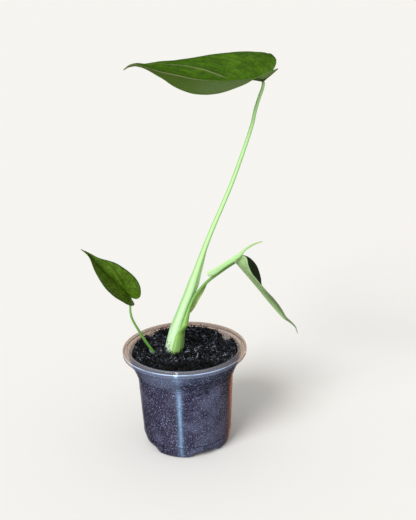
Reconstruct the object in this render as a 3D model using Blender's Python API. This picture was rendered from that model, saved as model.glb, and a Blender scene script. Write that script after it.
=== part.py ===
"""Young climbing houseplant with three heart-shaped leaves, in a clear nursery pot.

Frame: origin at the centre of the pot's foot, +Z up, -Y towards the front.
Sizes in the tables are millimetres and are scaled to metres when a mesh is made.
"""
import math

import bmesh
import bpy
from mathutils import Vector
from mathutils import noise

MM = 0.001
GAP = 0.3

# Pot
POT_HEIGHT = 74.5
RIM_RADIUS = 45.0
WALL = 0.8
POT_COLUMNS = 48
NOTCH_COUNT = 4
NOTCH_TURN = -64.0
NOTCH_HALF_WIDTH = 19.0
NOTCH_EDGE = 5.0
NOTCH_LIFT = 3.1
NOTCH_START = 13.0
NOTCH_FADE = 9.0
DRAIN_RADIUS = 2.2
DRAIN_REACH = 22.0

# Outer side of the pot from the foot's edge to the flange: radius, height
POT_SIDE = [(29.5, 0.0), (31.0, 1.4), (31.6, 4.0), (32.0, 6.5), (32.6, 10.5), (33.4, 25.0),
            (34.1, 40.0), (34.6, 50.0), (35.0, 54.0), (36.3, 58.0), (38.0, 62.0), (39.7, 66.0),
            (41.1, 71.4)]

# Outward lean of the pot's flare per millimetre of height
FLARE = (POT_SIDE[-1][0] - POT_SIDE[-2][0]) / (POT_SIDE[-1][1] - POT_SIDE[-2][1])

# Soil
SOIL_LEVEL = 70.0
SOIL_LUMP = 1.3
SOIL_SEED = 4.0

# Height of the soil against the wall: direction in degrees, height
SOIL_EDGE = [(-180, 70.6), (-165, 71.6), (-90, 71.2), (-20, 71.8), (8, 72.2), (22, 72.0),
             (28, 68.8), (35, 66.8), (41, 67.0), (46, 71.0), (52, 72.2), (87, 73.2),
             (108, 72.6), (122, 72.8), (129, 70.8), (137, 70.0), (142, 72.6), (150, 73.2),
             (165, 72.6), (174, 70.8), (180, 70.6)]

# Main stem: path from below the soil to the blade, then its diameter along the path
MAIN_PATH = [(-10.3, 3.0, 56.0), (-9.2, 3.0, 66.0), (-8.6, 3.0, 71.0), (-6.6, 3.0, 82.0),
             (-4.7, 3.0, 90.0), (-2.0, 3.0, 97.5), (1.5, 3.0, 107.0), (5.0, 3.0, 115.5),
             (10.3, 3.0, 130.5), (16.5, 3.0, 148.0), (23.7, 3.0, 165.5), (30.4, 3.0, 180.5),
             (36.9, 3.0, 195.8), (43.7, 3.0, 214.0), (50.3, 3.2, 233.0), (53.0, 3.4, 244.0),
             (55.6, 3.7, 252.0), (57.7, 3.9, 257.6), (58.3, 4.0, 260.6), (58.2, 4.0, 262.0)]
MAIN_WIDTHS = [(0.0, 11.0), (0.05, 11.6), (0.085, 11.6), (0.13, 10.3), (0.165, 9.0), (0.20, 8.0),
               (0.24, 7.4), (0.29, 7.1), (0.32, 6.7), (0.36, 5.3), (0.40, 4.5), (0.45, 3.8),
               (0.53, 3.2), (0.66, 2.9), (0.80, 2.6), (0.95, 2.3), (1.0, 2.0)]
MAIN_SIDES = 14
MAIN_RINGS = 44

# Clasping foot of the second stem: height, first and last direction, thickness
CLASP = [(58.0, -102.0, 18.0, 1.5), (64.0, -103.0, 20.0, 1.8), (70.0, -102.0, 20.0, 1.9),
         (76.0, -98.0, 18.0, 1.9), (82.0, -92.0, 14.0, 1.9), (86.5, -84.0, 9.0, 1.9)]
CLASP_EDGE = 0.7

# Second stem above its foot
SECOND_PATH = [(0.9, -2.9, 92.6), (3.1, -1.9, 100.4), (5.2, -1.1, 106.5), (7.5, -0.7, 111.5),
               (9.9, -0.5, 115.7), (13.6, -0.6, 120.1), (16.9, -0.8, 123.8), (20.5, -1.0, 127.0),
               (24.8, -1.0, 130.2), (29.1, -0.9, 133.2), (33.7, -0.6, 136.2), (37.6, 0.0, 138.4)]
SECOND_WIDTHS = [(0.0, 4.2), (0.09, 3.4), (0.2, 2.4), (0.8, 2.2), (1.0, 2.0)]
SECOND_RINGS = 30
SECOND_OUTWARD = -38.0
HALF = 7

# Small stem
SMALL_PATH = [(-15.6, -3.0, 58.0), (-19.2, -3.0, 66.0), (-21.1, -3.0, 70.0), (-24.6, -3.6, 75.8),
              (-28.7, -4.4, 83.4), (-32.7, -5.2, 91.6), (-35.9, -6.0, 99.0), (-37.0, -7.0, 105.0),
              (-36.8, -7.9, 111.2), (-36.2, -8.5, 115.8), (-35.9, -8.7, 118.6)]
SMALL_WIDTHS = [(0.0, 2.2), (0.3, 2.0), (0.7, 1.6), (1.0, 1.5)]
SMALL_SIDES = 10
SMALL_RINGS = 22

# Sheath bar: middle, height and depth along the bar, from its blunt end to the tail
SHEATH_PATH = [(18.1, -3.2, 131.2), (22.5, -3.3, 132.8), (27.0, -3.3, 135.7), (30.5, -3.4, 138.0),
               (34.8, -3.8, 140.8), (38.3, -4.3, 143.3), (41.1, -4.8, 145.6), (43.3, -5.0, 148.1),
               (45.6, -5.0, 150.1), (48.4, -5.0, 151.8), (51.2, -5.0, 153.2), (53.6, -5.0, 154.0),
               (56.6, -5.0, 154.9)]
SHEATH_HEIGHTS = [(0.0, 3.8), (0.1, 4.5), (0.22, 3.8), (0.34, 3.4), (0.54, 3.4), (0.62, 2.6),
                  (0.7, 1.8), (0.85, 1.4), (1.0, 0.6)]
SHEATH_DEPTHS = [(0.0, 1.4), (0.6, 1.4), (0.75, 1.0), (1.0, 0.5)]
SHEATH_SIDES = 12
SHEATH_RINGS = 24

# Dry wing behind the second stem: its two long edges
WING_INNER = [(4.8, 1.3, 101.3), (5.8, 1.3, 105.6), (7.8, 1.3, 110.7), (10.3, 1.3, 115.0),
              (14.0, 1.3, 119.3), (16.9, 1.3, 122.8)]
WING_OUTER = [(5.2, 1.3, 100.4), (8.4, 1.3, 104.4), (11.7, 1.3, 110.4), (14.4, 1.3, 115.2),
              (16.5, 1.3, 119.6), (17.7, 1.3, 122.4)]
WING_THICKNESS = 0.7
WING_ROWS = 14

# Blades
BLADE_THICKNESS = 0.7
LOBE_BEND = 0.8

# Main blade: midrib, flat outline of each half, and fold of each half along the midrib
MAIN_MIDRIB = [(57.8, 4.0, 262.8), (51.0, 4.5, 263.9), (43.2, 5.0, 263.8), (33.3, 5.7, 263.3),
               (21.3, 6.5, 263.6), (12.0, 7.2, 264.8), (0.6, 8.0, 267.5), (-10.2, 8.8, 269.9),
               (-18.8, 9.2, 272.8), (-25.2, 9.8, 274.4), (-29.6, 10.2, 273.8), (-33.2, 10.5, 271.4)]
MAIN_OUTLINE = [(0.0, 0.0), (-3.8, 2.6), (-7.0, 8.5), (-8.2, 15.0), (-6.8, 21.5), (-1.8, 26.8),
                (6.0, 29.3), (15.0, 30.0), (24.0, 29.6), (33.0, 28.0), (41.0, 25.2), (49.0, 21.3),
                (57.0, 16.8), (64.0, 12.4), (71.0, 8.4), (78.0, 5.0), (84.0, 2.8), (88.0, 2.2),
                (91.5, 1.2), (94.5, 0.0)]
MAIN_FAR_LOBE = [(0.0, 0.0), (-3.4, 2.6), (-6.2, 8.0), (-7.2, 15.0), (-6.2, 22.0), (-1.8, 27.6)]
MAIN_FAR_FOLD = [(-9, 15), (-6, 23), (-3, 30), (0, 33), (3, 32.5), (7, 31), (30, 31.5), (45, 33),
                 (60, 32), (66, 37), (71, 40.5), (75, 33), (80, 18), (84, 21), (88, 14), (92, 14)]
MAIN_NEAR_FOLD = [(-9, 13), (-5, 14.5), (-2, 16.5), (0, 16), (2, 13), (4.5, 9.5), (9, 3.5),
                  (15, -1), (28, -8), (41, -13), (53, -16), (59, -15), (65, -10), (71, -6),
                  (77, -2), (80, 0), (84, -5), (88, -14), (92, -14)]

# Second blade
SECOND_MIDRIB = [(38.4, 0.5, 138.6), (43.4, 0.5, 132.2), (53.1, 0.5, 119.6), (62.6, 0.5, 106.7),
                 (71.3, 0.5, 95.9), (76.7, 0.5, 91.4), (80.6, 0.5, 87.0), (82.4, 0.5, 81.6)]
SECOND_OUTLINE = [(0.0, 0.0), (-2.0, 3.5), (-2.6, 7.5), (-0.5, 11.5), (4.0, 15.0), (9.0, 17.3),
                  (15.0, 18.2), (22.0, 17.6), (29.0, 15.6), (36.0, 12.6), (43.0, 8.8),
                  (49.0, 5.4), (54.0, 2.9), (59.0, 1.5), (64.0, 0.8), (69.0, 0.0)]
SECOND_LEFT_BASE = [(0.0, 0.0), (0.2, 3.5), (0.8, 7.5), (2.2, 11.5), (5.2, 14.9)]
SECOND_RIGHT_FOLD = [(-3, 58), (0, 48), (3, 32), (7, 23), (11, 20), (25, 20), (36, 27), (46, 36),
                     (54, 46)]
SECOND_LEFT_FOLD = [(0, 22), (3, 22), (7, 21), (12, 21.5), (18, 20), (26, 10.5), (32, 0), (50, 2)]

# Small blade
SMALL_MIDRIB = [(-36.0, -10.2, 118.4), (-41.0, -9.0, 125.0), (-49.0, -7.0, 132.0),
                (-57.0, -5.0, 140.0), (-63.4, -3.0, 147.5), (-69.2, -1.6, 151.6)]
SMALL_OUTLINE = [(0.0, 0.0), (-2.0, 1.6), (-3.6, 4.6), (-3.2, 8.0), (0.0, 11.0), (5.0, 12.5),
                 (11.0, 13.0), (17.0, 12.7), (23.0, 11.2), (29.0, 8.4), (34.0, 5.2), (38.0, 2.8),
                 (41.5, 1.4), (45.0, 0.6), (48.6, 0.0)]
SMALL_LEFT_LOBE = [(0.0, 0.0), (-2.8, 0.9), (-4.9, 1.9), (-5.6, 3.8), (-4.6, 6.5), (-2.4, 9.0),
                   (0.0, 10.8)]
SMALL_RIGHT_FOLD = [(-4, 42), (2, 31), (7, 26), (17, 26), (24, 22), (30, 24), (50, 25)]
SMALL_LEFT_FOLD = [(-4, 67), (2, 65), (8, 57), (14, 57), (22, 61), (40, 64)]


def smooth_through(points, count):
    """Return count points evenly spread along a smooth curve through the given points."""
    pts = [Vector(p) for p in points]
    ends = [pts[0] * 2 - pts[1]] + pts + [pts[-1] * 2 - pts[-2]]
    dense = []
    for i in range(1, len(ends) - 2):
        a, b, c, d = ends[i - 1], ends[i], ends[i + 1], ends[i + 2]
        for k in range(16):
            t = k / 16
            dense.append(0.5 * ((2 * b) + (c - a) * t + (2 * a - 5 * b + 4 * c - d) * t * t
                                + (3 * b - a - 3 * c + d) * t * t * t))
    dense.append(pts[-1].copy())
    run = [0.0]
    for p, q in zip(dense, dense[1:]):
        run.append(run[-1] + (q - p).length)
    out = []
    j = 0
    for k in range(count):
        want = run[-1] * k / (count - 1)
        while j < len(run) - 2 and run[j + 1] < want:
            j += 1
        span = run[j + 1] - run[j]
        f = (want - run[j]) / span if span > 0 else 0.0
        out.append(dense[j].lerp(dense[j + 1], min(max(f, 0.0), 1.0)))
    return out


def ease(low, high, value):
    """Rise smoothly from 0 at low to 1 at high."""
    f = min(max((value - low) / (high - low), 0.0), 1.0)
    return f * f * (3 - 2 * f)


def look_up(table, value):
    """Read a value on the smooth curve through the pairs of a table."""
    last = len(table) - 1
    if value <= table[0][0]:
        return table[0][1]
    if value >= table[last][0]:
        return table[last][1]
    i = max(k for k in range(last) if table[k][0] <= value)
    slopes = []
    for k in (i, i + 1):
        before, after = table[max(k - 1, 0)], table[min(k + 1, last)]
        slopes.append((after[1] - before[1]) / (after[0] - before[0]))
    start, low = table[i]
    end, high = table[i + 1]
    f = (value - start) / (end - start)
    rise = f * f * (3 - 2 * f)
    bend = slopes[0] * f * (1 - f) ** 2 - slopes[1] * f * f * (1 - f)
    return low + (high - low) * rise + bend * (end - start)


def make_material(name, colour, roughness, alpha=1.0):
    """Make a plain Principled material."""
    material = bpy.data.materials.new(name)
    material.use_nodes = True
    shader = material.node_tree.nodes["Principled BSDF"]
    shader.inputs["Base Color"].default_value = (*colour, 1.0)
    shader.inputs["Roughness"].default_value = roughness
    shader.inputs["Metallic"].default_value = 0.0
    shader.inputs["Alpha"].default_value = alpha
    return material


def make_object(name, vertices, faces, material, smooth=True):
    """Make one mesh object from millimetre points, with its faces turned outwards."""
    mesh = bpy.data.meshes.new(name)
    work = bmesh.new()
    verts = [work.verts.new(Vector(v) * MM) for v in vertices]
    for face in faces:
        work.faces.new([verts[i] for i in face])
    bmesh.ops.recalc_face_normals(work, faces=work.faces)
    work.to_mesh(mesh)
    work.free()
    if smooth:
        mesh.shade_smooth()
        mesh.set_sharp_from_angle(angle=math.radians(40))
    mesh.materials.append(material)
    item = bpy.data.objects.new(name, mesh)
    bpy.context.collection.objects.link(item)
    return item


def thicken(item, thickness):
    """Give a sheet its thickness, half to each side."""
    solid = item.modifiers.new("thickness", "SOLIDIFY")
    solid.thickness = thickness * MM
    solid.offset = 0.0
    solid.use_even_offset = False


def loft(rings):
    """Join rings of equal, even length into a closed solid with a flat strip across each end."""
    count = len(rings[0])
    vertices = [p for ring in rings for p in ring]
    faces = []
    for i in range(len(rings) - 1):
        for k in range(count):
            n = (k + 1) % count
            a, b = i * count + k, i * count + n
            c, d = a + count, b + count
            faces += [(a, b, d), (a, d, c)]
    for first in (0, (len(rings) - 1) * count):
        faces.append((first, first + 1, first + count - 1))
        for k in range(1, count // 2 - 1):
            a, b = first + k, first + k + 1
            c, d = first + count - k - 1, first + count - k
            faces += [(a, b, c), (a, c, d)]
        half = first + count // 2
        faces.append((half - 1, half, half + 1))
    return vertices, faces


def tube_rings(points, widths, sides, count, grow=0.0):
    """Return round rings square to a smooth path, with the diameter read along its length."""
    path = smooth_through(points, count)
    rings = []
    side = Vector((0, -1, 0))
    for i, p in enumerate(path):
        ahead = (path[min(i + 1, count - 1)] - path[max(i - 1, 0)]).normalized()
        side = (side - ahead * ahead.dot(side)).normalized()
        other = ahead.cross(side)
        radius = look_up(widths, i / (count - 1)) / 2 + grow
        rings.append([p + side * math.cos(2 * math.pi * k / sides) * radius
                      + other * math.sin(2 * math.pi * k / sides) * radius for k in range(sides)])
    return rings


def oval_rings(points, heights, depths, sides, count):
    """Return oval rings along a path, flat towards the front."""
    path = smooth_through(points, count)
    rings = []
    for i, p in enumerate(path):
        ahead = (path[min(i + 1, count - 1)] - path[max(i - 1, 0)]).normalized()
        front = Vector((0, -1, 0))
        front = (front - ahead * ahead.dot(front)).normalized()
        rise = ahead.cross(front)
        f = i / (count - 1)
        tall = look_up(heights, f) / 2
        deep = look_up(depths, f) / 2
        rings.append([p + rise * math.cos(2 * math.pi * k / sides) * tall
                      + front * math.sin(2 * math.pi * k / sides) * deep for k in range(sides)])
    return rings


def notch(x, y):
    """Return how far the foot is raised at a place by the drainage notches."""
    turn = math.degrees(math.atan2(y, x))
    step = 360 / NOTCH_COUNT
    away = abs((turn - NOTCH_TURN + step / 2) % step - step / 2)
    across = 1 - ease(NOTCH_HALF_WIDTH - NOTCH_EDGE, NOTCH_HALF_WIDTH + NOTCH_EDGE, away)
    return NOTCH_LIFT * across * ease(NOTCH_START, NOTCH_START + 4, math.hypot(x, y))


def turned(profile, columns, floor):
    """Turn a profile from the axis round to the axis, with the foot lifted at the notches."""
    vertices = []
    faces = []
    for radius, height in profile:
        if radius == 0:
            vertices.append((0.0, 0.0, height))
            continue
        for k in range(columns):
            turn = 2 * math.pi * k / columns
            x, y = radius * math.cos(turn), radius * math.sin(turn)
            fade = min(max(1 - (height - floor) / NOTCH_FADE, 0.0), 1.0)
            vertices.append((x, y, height + notch(x, y) * fade))
    first = 1
    last = first + (len(profile) - 3) * columns
    end = len(vertices) - 1
    for k in range(columns):
        n = (k + 1) % columns
        faces.append((0, first + n, first + k))
        faces.append((end, last + k, last + n))
        for row in range(len(profile) - 3):
            a = first + row * columns
            b = a + columns
            faces.append((a + k, a + n, b + k))
            faces.append((a + n, b + n, b + k))
    return vertices, faces


def cut(target, vertices, faces, name):
    """Cut one closed shape out of a solid."""
    cutter = make_object(name, vertices, faces, target.data.materials[0])
    cutter.hide_render = True
    cutter.display_type = "WIRE"
    hole = target.modifiers.new(name, "BOOLEAN")
    hole.operation = "DIFFERENCE"
    hole.solver = "EXACT"
    hole.object = cutter


def drain_ring(x, y, z):
    """Return one ring of a drain hole's cutter."""
    turns = [math.pi * k / 5 for k in range(10)]
    return [(x + DRAIN_RADIUS * math.cos(t), y + DRAIN_RADIUS * math.sin(t), z) for t in turns]


def build_pot(material):
    """Turn the pot with its flange, down-turned lip and notched foot."""
    outer = [(0.0, 0.0), (NOTCH_START, 0.0), (NOTCH_START + 4, 0.0), (23.0, 0.0)] + POT_SIDE
    flange = [(44.1, POT_HEIGHT - 1.9), (44.2, POT_HEIGHT - 3.2), (RIM_RADIUS, POT_HEIGHT - 3.2),
              (RIM_RADIUS, POT_HEIGHT - 0.4), (RIM_RADIUS - 0.5, POT_HEIGHT),
              (RIM_RADIUS - 3.0, POT_HEIGHT), (RIM_RADIUS - 4.3, POT_HEIGHT - 1.0)]
    inner = [(r - WALL, z) for r, z in reversed(POT_SIDE[2:])]
    inner += [(30.1, 2.4), (28.9, WALL), (23.0, WALL), (NOTCH_START + 4, WALL),
              (NOTCH_START, WALL), (0.0, WALL)]
    vertices, faces = turned(outer + flange + inner, POT_COLUMNS, 0.0)
    pot = make_object("pot", vertices, faces, material)
    for k in range(NOTCH_COUNT):
        turn = math.radians(NOTCH_TURN + 360 * k / NOTCH_COUNT)
        x, y = DRAIN_REACH * math.cos(turn), DRAIN_REACH * math.sin(turn)
        cut(pot, *loft([drain_ring(x, y, -1.0), drain_ring(x, y, 8.0)]), "drain_%d" % (k + 1))
    return pot


def soil_top(x, y):
    """Return the height of the lumpy soil at a place."""
    lumps = noise.noise(Vector((x * 0.13, y * 0.13, SOIL_SEED)))
    grains = noise.noise(Vector((x * 0.4, y * 0.4, SOIL_SEED + 9)))
    edge = ease(29, 38, math.hypot(x, y))
    bank = look_up(SOIL_EDGE, math.degrees(math.atan2(y, x)))
    inside = SOIL_LEVEL + SOIL_LUMP * lumps
    return inside + (bank - inside) * edge + 0.5 * grains * (1 - 0.6 * edge)


def build_soil(material):
    """Fill the pot's inside, a gap clear of its wall, with a lumpy top."""
    floor = WALL + GAP
    side = [(r - floor, z) for r, z in POT_SIDE[2:-1]]
    profile = [(NOTCH_START, floor), (NOTCH_START + 4, floor), (23.0, floor), (28.4, floor),
               (29.8, 2.7)] + side
    vertices = []
    faces = []
    rows = []
    for radius, height in profile:
        rows.append([])
        for k in range(POT_COLUMNS):
            turn = 2 * math.pi * k / POT_COLUMNS
            x, y = radius * math.cos(turn), radius * math.sin(turn)
            fade = min(max(1 - (height - WALL) / NOTCH_FADE, 0.0), 1.0)
            rows[-1].append(len(vertices))
            vertices.append((x, y, height + notch(x, y) * fade))
    edge, brim = side[-1]
    for radius in (edge, 36.0, 32.5, 28.5, 24.5, 20.5, 16.5, 12.5, 8.5, 4.5):
        rows.append([])
        for k in range(POT_COLUMNS):
            turn = 2 * math.pi * (k + 0.5 * (radius < edge)) / POT_COLUMNS
            x, y = radius * math.cos(turn), radius * math.sin(turn)
            top = soil_top(x, y)
            grow = (min(top, POT_SIDE[-1][1]) - brim) * FLARE if radius == edge else 0.0
            rows[-1].append(len(vertices))
            vertices.append((x * (1 + grow / edge), y * (1 + grow / edge), top))
    bottom = len(vertices)
    vertices.append((0.0, 0.0, floor))
    middle = len(vertices)
    vertices.append((0.0, 0.0, soil_top(0, 0)))
    for k in range(POT_COLUMNS):
        n = (k + 1) % POT_COLUMNS
        faces.append((bottom, rows[0][n], rows[0][k]))
        faces.append((middle, rows[-1][k], rows[-1][n]))
        for low, high in zip(rows, rows[1:]):
            faces.append((low[k], low[n], high[n]))
            faces.append((low[k], high[n], high[k]))
    return make_object("soil", vertices, faces, material, smooth=False)


def main_axis(height):
    """Return the middle and radius of the main stem at a height near its foot."""
    path = smooth_through(MAIN_PATH, 200)
    best = min(range(200), key=lambda i: abs(path[i].z - height))
    return path[best], look_up(MAIN_WIDTHS, best / 199) / 2


def clasp_ring(height, first, last, thickness, grow=0.0):
    """Return a crescent ring that hugs the main stem."""
    middle, radius = main_axis(height)
    inner = radius * 1.02 + GAP - grow
    spread = math.degrees(grow / radius)
    first -= spread
    last += spread
    ring = []
    for k in range(HALF + 1):
        u = k / HALF
        turn = math.radians(first + (last - first) * u)
        deep = CLASP_EDGE + (thickness - CLASP_EDGE) * math.sin(math.pi * u) + 2 * grow
        ring.append(middle + Vector((math.cos(turn), math.sin(turn), 0)) * (inner + deep))
    for k in range(1, HALF):
        turn = math.radians(last + (first - last) * k / HALF)
        ring.append(middle + Vector((math.cos(turn), math.sin(turn), 0)) * inner)
    return ring


def second_rings():
    """Return the rings of the second stem from its clasping foot to its end."""
    rings = [clasp_ring(*row) for row in CLASP]
    path = smooth_through(SECOND_PATH, SECOND_RINGS)
    facing = math.radians(SECOND_OUTWARD)
    out = Vector((math.cos(facing), math.sin(facing), 0))
    for i, p in enumerate(path):
        ahead = (path[min(i + 1, SECOND_RINGS - 1)] - path[max(i - 1, 0)]).normalized()
        out = (out - ahead * ahead.dot(out)).normalized()
        along = ahead.cross(out)
        radius = look_up(SECOND_WIDTHS, i / (SECOND_RINGS - 1)) / 2
        turns = [math.pi * (k / HALF) - math.pi / 2 for k in range(2 * HALF)]
        rings.append([p + out * math.cos(t) * radius + along * math.sin(t) * radius
                      for t in turns])
    return rings


def build_stems(mint, stem_green, thin_green):
    """Loft the tall main stem, the clasping second stem and the thin stem."""
    tall = tube_rings(MAIN_PATH, MAIN_WIDTHS, MAIN_SIDES, MAIN_RINGS)
    make_object("main_stem", *loft(tall), mint)
    make_object("second_stem", *loft(second_rings()), stem_green)
    thin = tube_rings(SMALL_PATH, SMALL_WIDTHS, SMALL_SIDES, SMALL_RINGS)
    make_object("small_stem", *loft(thin), thin_green)


def build_sheath(material):
    """Loft the pale sheath with its pointed tail."""
    rings = oval_rings(SHEATH_PATH, SHEATH_HEIGHTS, SHEATH_DEPTHS, SHEATH_SIDES, SHEATH_RINGS)
    make_object("second_sheath", *loft(rings), material)


def build_wing(material):
    """Make the thin dry margin behind the second stem."""
    inner = smooth_through(WING_INNER, WING_ROWS)
    outer = smooth_through(WING_OUTER, WING_ROWS)
    vertices = []
    for a, b in zip(inner, outer):
        vertices += [a, a.lerp(b, 0.5) + Vector((0, 0.25, 0)), b]
    faces = []
    for i in range(WING_ROWS - 1):
        for j in range(2):
            a = i * 3 + j
            faces += [(a, a + 1, a + 4), (a, a + 4, a + 3)]
    thicken(make_object("second_wing", vertices, faces, material), WING_THICKNESS)


class Blade:
    """A heart-shaped blade bent along its midrib.

    Side +1 is to the right of an eye that looks from the stem to the tip with the upper
    side up. Each half is folded by an angle that changes along the midrib.
    """

    def __init__(self, name, midrib, upper, outlines, folds, lobe_lift, lead, ribs, cells):
        self.name = name
        self.path = smooth_through(midrib, 120)
        self.upper = Vector(upper).normalized()
        self.outlines = {1: outlines[0], -1: outlines[1]}
        self.folds = {1: folds[0], -1: folds[1]}
        self.lobe_lift = lobe_lift
        self.lead = lead
        self.ribs = ribs
        self.cells = cells
        self.length = sum((b - a).length for a, b in zip(self.path, self.path[1:]))

    def frame(self, x):
        """Return the place, direction, side and upper direction of the midrib at x."""
        f = min(max(x / self.length, 0.0), 1.0) * 119
        i = min(int(f), 118)
        place = self.path[i].lerp(self.path[i + 1], f - i)
        ahead = (self.path[min(i + 3, 119)] - self.path[max(i - 2, 0)]).normalized()
        side = ahead.cross(self.upper).normalized()
        return place, ahead, side, side.cross(ahead)

    def point(self, x, y, side):
        """Return the place of a flat point at x along the midrib and y from it."""
        place, ahead, across, up = self.frame(x)
        fold = math.radians(look_up(self.folds[side], x))
        spot = place + across * side * y * math.cos(fold) + up * y * math.sin(fold)
        if x < 0:
            spot = spot + ahead * x + up * self.lobe_lift * x * x / (LOBE_BEND - x)
        return spot

    def starts(self, flat):
        """Return where each rib leaves the midrib, never behind the rib before."""
        found = []
        for right, left in zip(flat[1], flat[-1]):
            wanted = (right.x + left.x - self.lead * (right.y + left.y)) / 2
            found.append(max(wanted, found[-1] if found else 0.0))
        return found

    def build(self, material):
        """Make the sheet of the blade from ribs and give it its thickness."""
        flat = {}
        for side in (1, -1):
            curve = smooth_through([(x, y, 0) for x, y in self.outlines[side]], self.ribs)
            flat[side] = curve[1:-1]
        starts = self.starts(flat)
        vertices = []
        middles = []
        for i, start in enumerate(starts):
            if i == 0 or start > starts[i - 1]:
                vertices.append(self.point(start, 0.0, 1))
            middles.append(len(vertices) - 1)
        tip = len(vertices)
        vertices.append(self.point(self.length, 0.0, 1))
        faces = []
        for side in (1, -1):
            rows = []
            for start, middle, end in zip(starts, middles, flat[side]):
                row = [middle]
                for j in range(1, self.cells + 1):
                    f = j / self.cells
                    x = start + (end.x - start) * f ** 1.25
                    row.append(len(vertices))
                    vertices.append(self.point(x, end.y * f, side))
                rows.append(row)
            for low, high in zip(rows, rows[1:]):
                for j in range(self.cells):
                    faces += self.cell(vertices, low[j], low[j + 1], high[j], high[j + 1])
            for j in range(self.cells):
                faces.append((rows[-1][j], rows[-1][j + 1], tip))
        item = make_object(self.name, vertices, faces, material)
        thicken(item, BLADE_THICKNESS)
        return item

    @staticmethod
    def cell(vertices, a, b, c, d):
        """Return the faces of one cell, split along its shorter diagonal."""
        if a == c:
            return [(a, b, d)]
        first = (vertices[a] - vertices[d]).length
        second = (vertices[b] - vertices[c]).length
        if first < second:
            return [(a, b, d), (a, d, c)]
        return [(a, b, c), (b, d, c)]


def build_blades(main_green, under_green, small_green):
    """Make the three blades."""
    far = MAIN_FAR_LOBE + MAIN_OUTLINE[6:]
    base = SECOND_LEFT_BASE + SECOND_OUTLINE[5:]
    left = SMALL_LEFT_LOBE + SMALL_OUTLINE[5:]
    Blade("main_leaf", MAIN_MIDRIB, (0, 0, 1), (far, MAIN_OUTLINE),
          (MAIN_FAR_FOLD, MAIN_NEAR_FOLD), 0.95, 0.5, 40, 6).build(main_green)
    Blade("second_leaf", SECOND_MIDRIB, (0.785, 0, 0.62), (SECOND_OUTLINE, base),
          (SECOND_RIGHT_FOLD, SECOND_LEFT_FOLD), 0.0, 0.55, 24, 5).build(under_green)
    Blade("small_leaf", SMALL_MIDRIB, (0, -0.95, 0.3), (SMALL_OUTLINE, left),
          (SMALL_RIGHT_FOLD, SMALL_LEFT_FOLD), 0.0, 0.5, 22, 5).build(small_green)


def cut_stem_holes(soil):
    """Cut the holes that the three stems stand in, a gap wider than each stem."""
    main_rings = tube_rings(MAIN_PATH, MAIN_WIDTHS, MAIN_SIDES, MAIN_RINGS, GAP)
    cut(soil, *loft(main_rings[:12]), "main_hole")
    cut(soil, *loft([clasp_ring(*row, GAP) for row in CLASP[:-1]]), "clasp_hole")
    thin_rings = tube_rings(SMALL_PATH, SMALL_WIDTHS, SMALL_SIDES, SMALL_RINGS, GAP)
    cut(soil, *loft(thin_rings[:10]), "small_hole")


def main():
    """Build the plant and its pot."""
    for item in list(bpy.data.objects):
        bpy.data.objects.remove(item, do_unlink=True)
    smoky = make_material("smoky_plastic", (0.38, 0.30, 0.27), 0.25, 0.45)
    dark_soil = make_material("potting_soil", (0.025, 0.022, 0.026), 0.9)
    mint = make_material("mint_stem", (0.50, 0.86, 0.38), 0.45)
    stem_green = make_material("green_stem", (0.09, 0.24, 0.04), 0.45)
    pale_sheath = make_material("pale_sheath", (0.45, 0.80, 0.28), 0.5)
    olive = make_material("olive_margin", (0.30, 0.38, 0.07), 0.6)
    main_green = make_material("main_blade", (0.055, 0.16, 0.022), 0.45)
    under_green = make_material("folded_blade", (0.22, 0.42, 0.17), 0.5)
    small_green = make_material("small_blade", (0.05, 0.15, 0.015), 0.4)
    thin_green = make_material("thin_stem", (0.20, 0.55, 0.12), 0.45)

    build_pot(smoky)
    soil = build_soil(dark_soil)
    build_stems(mint, stem_green, thin_green)
    build_sheath(pale_sheath)
    build_wing(olive)
    build_blades(main_green, under_green, small_green)
    cut_stem_holes(soil)


if __name__ == "__main__":
    main()
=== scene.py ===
"""Looks of a young climbing houseplant in a clear nursery pot.

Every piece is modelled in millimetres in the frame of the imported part: origin at the middle
of the pot's foot, +Z up, -Y towards the front. Meshes are scaled to metres when they are made.
"""
import logging
import math
import random
from contextlib import contextmanager
from dataclasses import dataclass, field
from enum import Enum
from typing import Callable, Iterator, Optional, Sequence, Union

import bpy
import numpy as np
from mathutils import Matrix, Vector, noise


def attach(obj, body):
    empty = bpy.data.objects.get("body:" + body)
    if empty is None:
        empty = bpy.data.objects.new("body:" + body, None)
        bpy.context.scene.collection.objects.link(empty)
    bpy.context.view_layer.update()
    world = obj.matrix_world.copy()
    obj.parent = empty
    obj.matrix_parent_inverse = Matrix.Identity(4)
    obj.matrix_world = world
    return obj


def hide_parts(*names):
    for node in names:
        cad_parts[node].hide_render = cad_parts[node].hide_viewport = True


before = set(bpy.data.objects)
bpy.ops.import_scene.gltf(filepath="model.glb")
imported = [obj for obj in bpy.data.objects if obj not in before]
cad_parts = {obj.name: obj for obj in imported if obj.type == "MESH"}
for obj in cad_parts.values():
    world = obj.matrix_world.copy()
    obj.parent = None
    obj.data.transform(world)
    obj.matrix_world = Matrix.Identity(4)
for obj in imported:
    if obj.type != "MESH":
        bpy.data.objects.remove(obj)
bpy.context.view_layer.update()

MM = 0.001
WELD = 0.004 * MM
MIDRIB_POINTS = 120
FULL_TURN = 2 * math.pi
FRONT = Vector((0, -1, 0))
LOG = logging.getLogger("houseplant")

Object = bpy.types.Object
Socket = bpy.types.NodeSocket
Triple = tuple[float, float, float]
Colour = Triple
Pair = tuple[float, float]
Table = Sequence[Pair]
Path = Sequence[Triple]
Corner = tuple[Vector, Triple]
Law = Callable[[float, float], Vector]
GrainLaw = Callable[[float, float], Corner]
Number = Union[float, "Wire"]
Paint = Union[Colour, Socket]
Values = dict[Union[int, str], object]


class Side(Enum):
    """Halves of a blade, as an eye sees them that looks from the stem to the tip."""

    RIGHT = 1
    LEFT = -1


# Curves


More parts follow.
